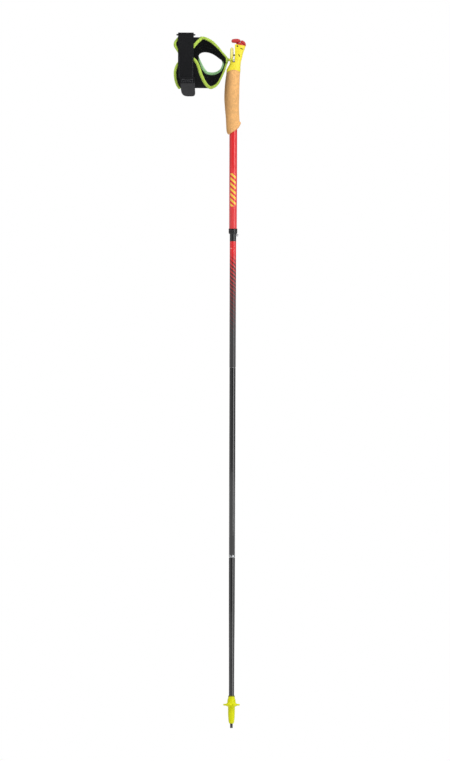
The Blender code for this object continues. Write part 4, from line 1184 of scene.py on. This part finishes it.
class POLE_OT_works(bpy.types.Operator):
    """Pins, springs, plugs and cord inside the pole"""

    bl_idname = "pole.works"
    bl_label = "Works"

    def past_button(self, cord):
        """Keeps the cord at the back of the tube as far up as the button slides."""
        travel, leaf_reach = 0.200, 0.062
        low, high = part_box("upper_cord")
        button_low, button_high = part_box("lock_button")
        level = (button_low[2] + button_high[2]) / 2
        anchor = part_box("cord_anchor")[0][2]
        reach = high[2] - (high[2] - level - travel) / CORD_KEPT + leaf_reach
        bow = -(low[0] + high[1])
        for v in cord.data.vertices:
            if v.co.z > level:
                held = ease((anchor - v.co.z) / (anchor - reach))
                v.co.x -= bow * (held - ease((anchor - v.co.z) / (anchor - level)))

    def execute(self, context):
        steel = metal("bright steel", (0.40, 0.41, 0.42), 0.22, 0)
        dark_steel = metal("blackened steel", (0.07, 0.065, 0.05), 0.45, 1)
        alloy = metal("turned alloy", (0.66, 0.67, 0.69), 0.34)
        black = plastic("bush black", (0.02, 0.02, 0.021), 0.5)
        cord = cord_finish("tension cord", (0.72, 0.72, 0.70))
        button = dressed("lock_button_pin", "lock_button", "button", steel)
        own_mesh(button)
        spring = dressed("latch_spring_coil", "latch_spring", "grip_section", steel)
        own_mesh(spring)
        leaf = dressed("button_leaf", "button_leaf_spring", None, steel)
        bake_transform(leaf)
        upper = dressed("upper_cord_length", "upper_cord", "grip_section", cord)
        self.past_button(upper)
        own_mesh(upper)
        for node, body in (
            ("slide_cord", "slide_section"),
            ("middle_cord", "middle_section"),
            ("lower_cord", "lower_section"),
        ):
            dressed(node + "_length", node, body, cord)
        for node, body, material, slot in (
            ("lever_pin", "grip_section", dark_steel, "steel"),
            ("latch_bolt", "latch", steel, "steel"),
            ("upper_joint_plug", "slide_section", alloy, "aluminium"),
            ("lower_joint_plug", "middle_section", alloy, "aluminium"),
            ("cord_stop", "lower_section", alloy, "aluminium"),
            ("cord_anchor", "grip_section", black, "black_plastic"),
            ("guide_bush", "slide_section", black, "black_plastic"),
        ):
            dressed(node + "_piece", node, body, material)
        return {"FINISHED"}


# Hand strap

CUFF_TOP, CUFF_BOTTOM, CUFF_DEPTH = 0.0398, -0.0507, 0.0220
HARNESS_TIP = -0.0092
BAND_X = -0.0865

# Side view of the harness from cuff to tip: x, top edge, bottom edge, half depth
HARNESS_LINES = [
    (-0.1120, CUFF_TOP, CUFF_BOTTOM, CUFF_DEPTH),
    (-0.0560, CUFF_TOP, CUFF_BOTTOM, CUFF_DEPTH),
    (-0.0460, 0.0366, -0.0508, CUFF_DEPTH * 0.95),
    (-0.0380, 0.0316, -0.0500, CUFF_DEPTH * 0.86),
    (-0.0262, 0.0203, -0.0425, CUFF_DEPTH * 0.64),
    (-0.0195, 0.0132, -0.0310, CUFF_DEPTH * 0.44),
    (-0.0150, 0.0085, -0.0205, CUFF_DEPTH * 0.29),
    (-0.0118, 0.0046, -0.0110, CUFF_DEPTH * 0.22),
    (HARNESS_TIP, 0.0018, -0.0040, CUFF_DEPTH * 0.20),
]
# Cut edges as height and x: the cuff's open end, and the vee on the palm side
CUFF_EDGE = [
    (-0.0510, -0.1000),
    (-0.0460, -0.1030),
    (-0.0360, -0.1062),
    (-0.0215, -0.1072),
    (-0.0100, -0.1038),
    (-0.0033, -0.0995),
    (0.0094, -0.0985),
    (0.0180, -0.1030),
    (0.0250, -0.1072),
    (0.0310, -0.1072),
    (0.0375, -0.1028),
    (0.0400, -0.1005),
]
VEE_EDGE = [
    (-0.0510, -0.0400),
    (-0.0480, -0.0440),
    (-0.0414, -0.0498),
    (-0.0269, -0.0571),
    (-0.0105, -0.0626),
    (-0.0006, -0.0680),
    (0.0049, -0.0753),
    (0.0130, -0.0770),
    (0.0203, -0.0735),
    (0.0312, -0.0645),
    (0.0400, -0.0570),
]
# Outline of the hole over the back of the hand: x and height
HAND_HOLE = [
    (-0.0637, 0.0065),
    (-0.0612, 0.0112),
    (-0.0541, 0.0139),
    (-0.0439, 0.0130),
    (-0.0337, 0.0086),
    (-0.0261, 0.0035),
    (-0.0195, -0.0018),
    (-0.0168, -0.0066),
    (-0.0185, -0.0131),
    (-0.0215, -0.0180),
    (-0.0274, -0.0217),
    (-0.0363, -0.0240),
    (-0.0455, -0.0232),
    (-0.0510, -0.0195),
    (-0.0566, -0.0106),
    (-0.0611, -0.0003),
]


def harness_point(x, angle, side):
    """A point on the harness: angle 0 is its top edge, half a turn its bottom."""
    top, bottom, depth = smooth_line(HARNESS_LINES, x)
    z = (top + bottom) / 2 + (top - bottom) / 2 * math.cos(angle)
    return Vector((x, side * depth * math.sin(angle), LOOP_Z + z))


def rounded_outline(corners, steps=8):
    """A closed smooth curve through the corners."""
    points = []
    count = len(corners)
    for i in range(count):
        a, b, c, d = (Vector(corners[(i + k) % count]) for k in (-1, 0, 1, 2))
        for k in range(steps):
            t = k / steps
            bend, twist = 2 * a - 5 * b + 4 * c - d, 3 * b - a - 3 * c + d
            points.append(0.5 * (2 * b + (c - a) * t + bend * t**2 + twist * t**3))
    return [(p.x, p.y) for p in points]


def inside_outline(outline, x, z):
    inside = False
    for (x0, z0), (x1, z1) in zip(outline, outline[1:] + outline[:1]):
        if (z0 > z) != (z1 > z) and x < x0 + (z - z0) * (x1 - x0) / (z1 - z0):
            inside = not inside
    return inside


def reach_of(test):
    """The greatest distance for which a test of distance still holds."""
    low, high, halvings = 0.0, 0.2, 34
    for _ in range(halvings):
        middle = (low + high) / 2
        if test(middle):
            low = middle
        else:
            high = middle
    return low


def beside_pole(x):
    """0 where the strap is clear of the pole, 1 at the end that loops round the hook."""
    starts, over = -0.038, 0.018
    return ease((x - starts) / over)


def drawn_back(point):
    """The strap's front edge, drawn back so that it swings past the hook, the head and the cork."""
    back_below, back_above = 0.0024, 0.0011
    below = ease((LOOP_Z + 0.002 - point.z) / 0.009)
    above = ease((point.z - LOOP_Z) / 0.003) * ease((LOOP_Z + 0.022 - point.z) / 0.010)
    shift = beside_pole(point.x) * (back_below * below + back_above * above)
    return Vector((point.x - shift, point.y, point.z))


def back_panel_rows(rays=216, rings=14):
    """Rows of points from the hole outwards, all the way round, over the back of the hand."""
    middle_x, middle_angle, spread = -0.0420, 1.53, 0.045
    hole = rounded_outline(HAND_HOLE)

    def spot(ray, distance):
        x = middle_x + distance * math.cos(ray)
        return x, middle_angle - distance * math.sin(ray) / spread

    def on_panel(ray, distance):
        x, angle = spot(ray, distance)
        if not 0.0 <= angle <= math.pi or x > HARNESS_TIP:
            return False
        return x > smooth_line(CUFF_EDGE, harness_point(x, angle, 1).z - LOOP_Z)[0]

    def in_hole(ray, distance):
        x, angle = spot(ray, distance)
        if not 0.0 <= angle <= math.pi:
            return False
        return inside_outline(hole, x, harness_point(x, angle, 1).z - LOOP_Z)

    rows = []
    for ray in around(rays):
        start = reach_of(lambda d, a=ray: in_hole(a, d))
        end = reach_of(lambda d, a=ray: on_panel(a, d))
        places = [spot(ray, start + (end - start) * j / rings) for j in range(rings + 1)]
        rows.append([drawn_back(harness_point(x, angle, 1)) for x, angle in places])
    return rows


def palm_panel_rows(count=72, columns=20):
    """Rows of points from the cuff's open end to the vee, from the top edge to the bottom edge."""
    short = 0.012  # of half a turn, at both edges
    rows = []
    for i in range(count + 1):
        angle = math.pi * (short + (1 - 2 * short) * i / count)
        z = harness_point(BAND_X, angle, -1).z - LOOP_Z
        start, end = smooth_line(CUFF_EDGE, z)[0], smooth_line(VEE_EDGE, z)[0]
        places = [start + (end - start) * j / columns for j in range(columns + 1)]
        rows.append([harness_point(x, angle, -1) for x in places])
    return rows


def sheet_mesh(rows, closed, thickness):
    """Rows of points as cloth with a thickness and a UV map in metres; also the cloth's area."""
    build = bmesh.new()
    grid = [[build.verts.new(p) for p in row] for row in rows]
    second_rows = grid[1:] + (grid[:1] if closed else [])
    for first, second in zip(grid, second_rows):
        for k in range(len(first) - 1):
            build.faces.new((first[k], first[k + 1], second[k + 1], second[k]))
    bmesh.ops.recalc_face_normals(build, faces=build.faces)
    area = sum(face.calc_area() for face in build.faces)
    uv = build.loops.layers.uv.new("cloth")
    for face in build.faces:
        for loop in face.loops:
            loop[uv].uv = (loop.vert.co.x, loop.vert.co.z)
    helper = placed("cloth", finished(build, "cloth"))
    solidify = helper.modifiers.new("thickness", "SOLIDIFY")
    solidify.thickness = thickness
    solidify.offset = 0.0
    return plain_mesh(helper), area


def binding_mesh(edge, inward, width_at, half_height, closed, sides=14):
    """Piping folded over an edge: an oval section that reaches in over the cloth."""
    build = bmesh.new()
    uv_rows, rings = [], []
    count = len(edge)
    widest = max(width_at(point) for point in edge)
    run = 0.0
    for i, point in enumerate(edge):
        before = edge[i - 1] if closed or i else edge[i]
        after = edge[(i + 1) % count] if closed or i < count - 1 else edge[i]
        along = (after - before).normalized()
        inside = inward[i] - point
        inside = (inside - along * inside.dot(along)).normalized()
        up = along.cross(inside)
        half_width = width_at(point)
        tall = half_height * max(0.65, half_width / widest)
        centre = point + inside * half_width * 0.55
        ring = []
        for angle in around(sides):
            offset = inside * half_width * math.cos(angle) + up * tall * math.sin(angle)
            ring.append(build.verts.new(centre + offset))
        rings.append(ring)
        uv_rows.append(run)
        run += (after - point).length
    uv = build.loops.layers.uv.new("cloth")
    last = count if closed else count - 1
    for i in range(last):
        first, second = rings[i], rings[(i + 1) % count]
        for k in range(sides):
            j = (k + 1) % sides
            face = build.faces.new((first[k], first[j], second[j], second[k]))
            ends = (uv_rows[i], uv_rows[i] + (edge[(i + 1) % count] - edge[i]).length)
            corners = ((k, 0), (k + 1, 0), (k + 1, 1), (k, 1))
            for loop, (place, end) in zip(face.loops, corners):
                loop[uv].uv = (place * half_height * 0.6, ends[end])
    if not closed:
        build.faces.new(list(reversed(rings[0])))
        build.faces.new(rings[-1])
    return finished(build, "binding")


def even_path(points, spacing, closed):
    """A path taken again at even steps."""
    ring = points + points[:1] if closed else points
    lengths = [0.0]
    for a, b in zip(ring, ring[1:]):
        lengths.append(lengths[-1] + (b - a).length)
    steps = max(8, round(lengths[-1] / spacing))
    path, k = [], 0
    for i in range(steps if closed else steps + 1):
        at = lengths[-1] * i / steps
        while k < len(ring) - 2 and lengths[k + 1] < at:
            k += 1
        width = max(lengths[k + 1] - lengths[k], 1e-9)
        path.append(ring[k].lerp(ring[k + 1], (at - lengths[k]) / width))
    return path


def nearest_inner(path, inner):
    """For each point of an edge, the nearest point of the row inside it."""
    return [min(inner, key=lambda q: (q - p).length_squared) for p in path]


class POLE_OT_harness(bpy.types.Operator):
    """Half-glove panels with their bindings, loop and ferrule"""

    bl_idname = "pole.harness"
    bl_label = "Harness"

    def execute(self, context):
        cloth = tuple(colours().cloth)
        lime = tuple(colours().piping)
        mesh_cloth = cloth_finish("spacer mesh", cloth, 0.0017, 0.0004, holes=0.8)
        solid_cloth = cloth_finish("palm cloth", cloth, 0.0007, 0.00012)
        piping = cloth_finish("lime piping", lime, 0.0006, 0.0001, sheen=0.1)
        hole_tape = hole_tape_finish(lime, cloth)
        thickness = sizes().panel
        back_rows, palm_rows = back_panel_rows(), palm_panel_rows()
        mesh, area = sheet_mesh(back_rows, True, thickness)
        solid = ("hand_back_panel",)
        back = keep("hand_back_cloth", mesh, mesh_cloth, "strap", solid)
        mesh, area = sheet_mesh(palm_rows, False, thickness)
        palm = keep("palm_cloth", mesh, solid_cloth, "strap", ("palm_panel",))
        self.bind(back_rows, palm_rows, piping, hole_tape)
        ferrule = plastic("ferrule lime", tone(lime, 1.2), 0.5)
        soft = {"voxel": 0.00022, "passes": 16}
        moulded("loop_ferrule_end", "loop_ferrule", "strap", ferrule, "neon_plastic", **soft)
        self.loop(lime)
        return {"FINISHED"}

    def loop(self, lime):
        """The cord round the hook, flat and taller on the way to the strap."""
        cord = cord_finish("loop cord", (lime[0] * 1.75, lime[1] * 1.35, lime[2] * 0.8))
        loop = dressed("strap_loop_cord", "strap_loop", "strap", cord)
        hook_half, behind_hook = 0.0040, 0.0040
        for v in loop.data.vertices:
            beside_hook = ease((abs(v.co.y) - hook_half) / 0.0015)
            taller = ease((-v.co.x - behind_hook) / 0.004) * (0.7 + 0.8 * beside_hook)
            v.co.z = LOOP_Z + (v.co.z - LOOP_Z) * (1 + taller)

    def bind(self, back_rows, palm_rows, piping, hole_tape):
        """Piping round the hole, the open front and the cuff."""
        half, height = sizes().binding_half_width, sizes().binding_half_height
        outer, inner = [row[-1] for row in back_rows], [row[-2] for row in back_rows]
        hole, beyond = [row[0] for row in back_rows], [row[1] for row in back_rows]
        vee, vee_inner = [row[-1] for row in palm_rows], [row[-2] for row in palm_rows]
        cuff, cuff_inner = [row[0] for row in palm_rows], [row[1] for row in palm_rows]

        def hole_width(point):
            low = (LOOP_Z + 0.004 - point.z) / 0.018
            return half * (0.42 + 0.5 * min(1.0, max(0.0, low)))

        def front_width(point):
            return half * (1 - 0.35 * beside_pole(point.x))

        def cuff_width(_):
            return half * 0.85

        top_x, bottom_x = vee[0].x, vee[-1].x
        front = [p for p in outer if p.x > (top_x if p.z > LOOP_Z else bottom_x)]
        middle_x = -0.065
        front.sort(key=lambda p: math.atan2(p.z - LOOP_Z, p.x - middle_x))
        back_of_cuff = -0.0965
        back_cuff = sorted((p for p in outer if p.x < back_of_cuff), key=lambda p: p.z)
        for name, edge, inside, width, tall, material in (
            ("hole_binding", hole, beyond, hole_width, height * 0.6, hole_tape),
            ("front_binding", front + vee, inner + vee_inner, front_width, height, piping),
            ("cuff_binding", cuff + back_cuff, cuff_inner + inner, cuff_width, height, piping),
        ):
            path = even_path(edge, 0.0015, True)
            mesh = binding_mesh(path, nearest_inner(path, inside), width, tall, True)
            keep(name, mesh, material, "strap", smooth_angle=SOFT)


class POLE_OT_wrist(bpy.types.Operator):
    """Wrist band, ring, keeper and the flap with its tab"""

    bl_idname = "pole.wrist"
    bl_label = "Wrist band"

    def execute(self, context):
        webbing = cloth_finish("webbing", tone(tuple(colours().cloth), 1.3), 0.0011, 0.0002)
        rubber = plastic("tab black", (0.012, 0.012, 0.014), 0.55, 2200.0, 0.0001)
        hard = plastic("ring black", (0.022, 0.022, 0.025), 0.38)
        for node, name, body, length in (
            ("wrist_band", "wrist_band_webbing", "strap", 0.0664),
            ("ring_keeper", "ring_keeper_webbing", "strap", 0.0460),
            ("wrist_flap", "wrist_flap_webbing", "flap", 0.1032),
        ):
            piece = self.strip(node, name, body, webbing)
        for name, node, body, material, voxel, passes in (
            ("strap_ring_frame", "strap_ring", "strap", hard, 0.00026, 4),
            ("pull_tab", "flap_tab", "flap", rubber, 0.00030, 2),
        ):
            moulded(name, node, body, material, "black_plastic", voxel, passes)
        self.fold(webbing)
        return {"FINISHED"}

    def fold(self, webbing):
        """End of the webbing, turned over the top of the tab."""
        low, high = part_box("flap_tab")
        left, right = low[0] - 0.0008, high[0] - 0.0012
        foot, top, face = high[2] - 0.0084, high[2] + 0.0024, low[1] - 0.0001
        path = [
            (face + 0.0022, top),
            (face + 0.0008, top - 0.0006),
            (face, top - 0.0022),
            (face, foot),
        ]
        steps, columns, thickness = 6, 24, 0.0010
        rows = []
        for k in range((len(path) - 1) * steps + 1):
            i, t = divmod(k, steps)
            here, after = path[i], path[min(i + 1, len(path) - 1)]
            y, z = (here[c] + (after[c] - here[c]) * t / steps for c in (0, 1))
            places = [left + (right - left) * j / columns for j in range(columns + 1)]
            rows.append([Vector((x, y, z)) for x in places])
        mesh = sheet_mesh(rows, False, thickness)[0]
        piece = keep("flap_end_fold", mesh, webbing, "flap", smooth_angle=ROUNDED)

    def strip(self, node, name, body, material):
        """The webbing's solid, taken finer and with rounded selvedges."""
        helper = placed(name + "_form", solid_copy(node))
        even(helper, 0.00045)
        soften = helper.modifiers.new("soften", "SMOOTH")
        soften.factor = 0.5
        soften.iterations = 6
        mesh = plain_mesh(helper)
        layer = mesh.uv_layers.new(name="cloth")
        for polygon in mesh.polygons:
            for index in polygon.loop_indices:
                co = mesh.vertices[mesh.loops[index].vertex_index].co
                layer.data[index].uv = (co.x, co.z + co.y * 0.6)
        return keep(name, mesh, material, body, (node,), SOFT)


def stitch_tree():
    """Stitches laid along a curve: short threads at even steps, then one mesh."""
    tree = bpy.data.node_groups.new("stitch row", "GeometryNodeTree")
    tree.interface.new_socket("Curve", in_out="INPUT", socket_type="NodeSocketGeometry")
    for name in ("Pitch", "Length", "Radius"):
        tree.interface.new_socket(name, in_out="INPUT", socket_type="NodeSocketFloat")
    tree.interface.new_socket("Thread", in_out="INPUT", socket_type="NodeSocketMaterial")
    tree.interface.new_socket("Stitches", in_out="OUTPUT", socket_type="NodeSocketGeometry")
    start, end = tree.nodes.new("NodeGroupInput"), tree.nodes.new("NodeGroupOutput")
    points = tree.nodes.new("GeometryNodeCurveToPoints")
    points.mode = "LENGTH"
    bead = tree.nodes.new("GeometryNodeMeshUVSphere")
    for name, value in (("Segments", 8), ("Rings", 6), ("Radius", 1.0)):
        bead.inputs[name].default_value = value
    half = tree.nodes.new("ShaderNodeMath")
    half.operation = "MULTIPLY"
    half.inputs[1].default_value = 0.5
    scale = tree.nodes.new("ShaderNodeCombineXYZ")
    place = tree.nodes.new("GeometryNodeInstanceOnPoints")
    real = tree.nodes.new("GeometryNodeRealizeInstances")
    paint = tree.nodes.new("GeometryNodeSetMaterial")
    for source, target in (
        (start.outputs["Curve"], points.inputs["Curve"]),
        (start.outputs["Pitch"], points.inputs["Length"]),
        (start.outputs["Length"], half.inputs[0]),
        (start.outputs["Radius"], scale.inputs["X"]),
        (start.outputs["Radius"], scale.inputs["Y"]),
        (half.outputs[0], scale.inputs["Z"]),
        (points.outputs["Points"], place.inputs["Points"]),
        (points.outputs["Rotation"], place.inputs["Rotation"]),
        (bead.outputs["Mesh"], place.inputs["Instance"]),
        (scale.outputs[0], place.inputs["Scale"]),
        (place.outputs["Instances"], real.inputs["Geometry"]),
        (real.outputs["Geometry"], paint.inputs["Geometry"]),
        (start.outputs["Thread"], paint.inputs["Material"]),
        (paint.outputs["Geometry"], end.inputs["Stitches"]),
    ):
        tree.links.new(source, target)
    return tree


def stitches(name, paths, body, thread, tree):
    """Rows of stitches along paths of points, as one piece."""
    curve = bpy.data.curves.new(name, "CURVE")
    curve.dimensions = "3D"
    for path in paths:
        spline = curve.splines.new("POLY")
        spline.points.add(len(path) - 1)
        for point, co in zip(spline.points, path):
            point.co = (*co, 1.0)
    helper = placed(name + "_path", curve)
    rows = helper.modifiers.new("rows", "NODES")
    rows.node_group = tree
    sockets = {s.name: s.identifier for s in tree.interface.items_tree if s.in_out == "INPUT"}
    rows[sockets["Pitch"]] = sizes().stitch_pitch
    rows[sockets["Length"]] = sizes().stitch_pitch * 0.64
    rows[sockets["Radius"]] = sizes().stitch_radius
    rows[sockets["Thread"]] = thread
    return keep(name, plain_mesh(helper), thread, body, smooth_angle=SOFT)


class POLE_OT_stitching(bpy.types.Operator):
    """Sewn lines on the flap and the palm panel"""

    bl_idname = "pole.stitching"
    bl_label = "Stitching"

    def execute(self, context):
        tree = stitch_tree()
        thread = plastic("sewing thread", (0.10, 0.10, 0.11), 0.7, 5200.0, 0.00008)
        low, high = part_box("wrist_flap")
        face = low[1] - sizes().stitch_radius * 0.3
        rows = []
        for x in (low[0] + 0.0022, high[0] - 0.0022):
            rows.append([Vector((x, face, high[2] - 0.045)), Vector((x, face, low[2] + 0.008))])
        tab_low, tab_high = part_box("flap_tab")
        tab_face = tab_low[1] - 0.0006 - sizes().stitch_radius * 0.3
        left, right = tab_low[0] + 0.004, tab_high[0] - 0.005
        foot, top = tab_high[2] - 0.0062, tab_high[2] - 0.0014
        box = [(left, foot), (right, foot), (right, top), (left, top), (left, foot)]
        rising, falling = [(left, foot), (right, top)], [(left, top), (right, foot)]
        for line in (box, rising, falling):
            rows.append([Vector((x, tab_face, z)) for x, z in line])
        stitches("flap_stitches", rows, "flap", thread, tree)
        from_vee, ends = 3, 4
        proud = Vector((0.0, sizes().panel / 2, 0.0))
        line = [row[-from_vee] - proud for row in palm_panel_rows(60, 20)]
        stitches("palm_stitches", [line[ends:-ends]], "strap", thread, tree)
        return {"FINISHED"}


class POLE_OT_stage(bpy.types.Operator):
    """Floor, lights and camera"""

    bl_idname = "pole.stage"
    bl_label = "Stage"

    def execute(self, context):
        glow = {"Emission_Color": (1.0, 1.0, 1.0, 1.0), "Emission_Strength": 0.86}
        pale = Finish("studio white", 0.9, Specular_IOR_Level=0.0, **glow)
        clouds = add(pale.tree, "ShaderNodeTexNoise", Vector=pale.place, Scale=0.7)
        dark, light = (0.015, 0.015, 0.015), (0.02, 0.02, 0.02)
        pale.set("Base Color", mixed(pale.tree, clouds.outputs["Fac"], dark, light))
        reach, under = 20.0, -0.0006
        corners = ((-reach, -reach), (reach, -reach), (reach, reach), (-reach, reach))
        self.sheet("floor", [(x, y, under) for x, y in corners], pale)
        self.surround(context)
        right, top = (1.6, -1.7, 1.0), (0.3, -1.6, 2.6)
        self.light("right_softbox", right, (0, 0, 0.65), width=0.8, height=2.2, power=19.0)
        self.light("top_softbox", top, (0, 0, 0.9), width=1.6, height=1.0, power=18.0)
        context.scene.view_settings.view_transform = "Standard"
        self.camera(context)
        return {"FINISHED"}

    def surround(self, context):
        """White where the camera sees it; its light comes from the left, the right and above."""
        world = context.scene.world or bpy.data.worlds.new("studio")
        context.scene.world = world
        world.use_nodes = True
        tree = world.node_tree
        seen = tree.nodes["Background"]
        seen.inputs["Color"].default_value = (1.0, 1.0, 1.0, 1.0)
        seen.inputs["Strength"].default_value = 1.0
        towards = tree.nodes.new("ShaderNodeTexCoord").outputs["Generated"]
        x, y, z = add(tree, "ShaderNodeSeparateXYZ", Vector=towards).outputs
        # Radians from the camera's side to where each bank of light starts and ends
        turn = maths(tree, "ARCTAN2", x, maths(tree, "MULTIPLY", y, -1.0))
        left_strength, right_strength, top_strength, level, behind = 0.50, 0.62, 0.8, 0.04, 0.08
        left = remap(tree, turn, -0.75, -0.36, left_strength, 0.0)
        left = maths(tree, "MULTIPLY", left, remap(tree, turn, -2.3, -1.7, behind, 1.0))
        right = remap(tree, turn, 0.24, 0.50, 0.0, right_strength)
        right = maths(tree, "MULTIPLY", right, remap(tree, turn, 1.40, 1.80, 1.0, behind))
        above = remap(tree, z, 0.45, 0.95, 0.0, top_strength)
        for share in (left, right, above):
            level = maths(tree, "ADD", share, level)
        lit = add(tree, "ShaderNodeBackground", Color=(1.0, 1.0, 1.0, 1.0), Strength=level)
        path = tree.nodes.new("ShaderNodeLightPath")
        blend = tree.nodes.new("ShaderNodeMixShader")
        tree.links.new(path.outputs["Is Camera Ray"], blend.inputs[0])
        tree.links.new(lit.outputs[0], blend.inputs[1])
        tree.links.new(seen.outputs[0], blend.inputs[2])
        tree.links.new(blend.outputs[0], tree.nodes["World Output"].inputs["Surface"])

    def sheet(self, name, corners, finish):
        mesh = bpy.data.meshes.new(name)
        mesh.from_pydata(corners, [], [(0, 1, 2, 3)])
        mesh.materials.append(finish.material)
        placed(name, mesh)

    def light(self, name, place, target, width, height, power):
        lamp = bpy.data.lights.new(name, "AREA")
        lamp.shape = "RECTANGLE"
        lamp.size, lamp.size_y, lamp.energy = width, height, power
        obj = placed(name, lamp)
        obj.location = place
        obj.rotation_euler = (Vector(target) - Vector(place)).to_track_quat("-Z", "Y").to_euler()

    def camera(self, context):
        data = bpy.data.cameras.new("camera")
        data.type = "ORTHO"
        data.ortho_scale = sizes().picture_height
        data.clip_end = 50.0
        obj = placed("camera", data)
        lean, aside, away = 0.184, -0.0136, -4.0
        roll = Matrix.Rotation(math.radians(lean), 4, "Z")
        turn = Matrix.Rotation(math.radians(90), 4, "X")
        obj.matrix_world = Matrix.Translation((aside, away, sizes().camera_height)) @ turn @ roll
        context.scene.camera = obj


class POLE_PT_panel(bpy.types.Panel):
    """Sizes and colours of the pole, and the steps that build it"""

    bl_label = "Folding pole"
    bl_idname = "POLE_PT_panel"
    bl_space_type = "VIEW_3D"
    bl_region_type = "UI"
    bl_category = "Pole"

    def draw(self, context):
        for settings in (context.scene.pole_sizes, context.scene.pole_colours):
            box = self.layout.box()
            for name in settings.bl_rna.properties.keys():
                if name not in ("rna_type", "name"):
                    box.prop(settings, name)
        for step in STEPS:
            self.layout.operator(step.bl_idname)


STEPS = (
    POLE_OT_shaft,
    POLE_OT_tip,
    POLE_OT_grip,
    POLE_OT_works,
    POLE_OT_harness,
    POLE_OT_wrist,
    POLE_OT_stitching,
    POLE_OT_stage,
)
CLASSES = (PoleColours, PoleSizes, *STEPS, POLE_PT_panel)


def register():
    for cls in CLASSES:
        bpy.utils.register_class(cls)
    bpy.types.Scene.pole_colours = bpy.props.PointerProperty(type=PoleColours)
    bpy.types.Scene.pole_sizes = bpy.props.PointerProperty(type=PoleSizes)


def unregister():
    del bpy.types.Scene.pole_sizes
    del bpy.types.Scene.pole_colours
    for cls in reversed(CLASSES):
        bpy.utils.unregister_class(cls)


def main():
    register()
    make_groups()
    bpy.ops.pole.shaft()
    bpy.ops.pole.tip()
    bpy.ops.pole.grip()
    bpy.ops.pole.works()
    bpy.ops.pole.harness()
    bpy.ops.pole.wrist()
    bpy.ops.pole.stitching()
    bpy.ops.pole.stage()


if __name__ == "__main__":
    main()
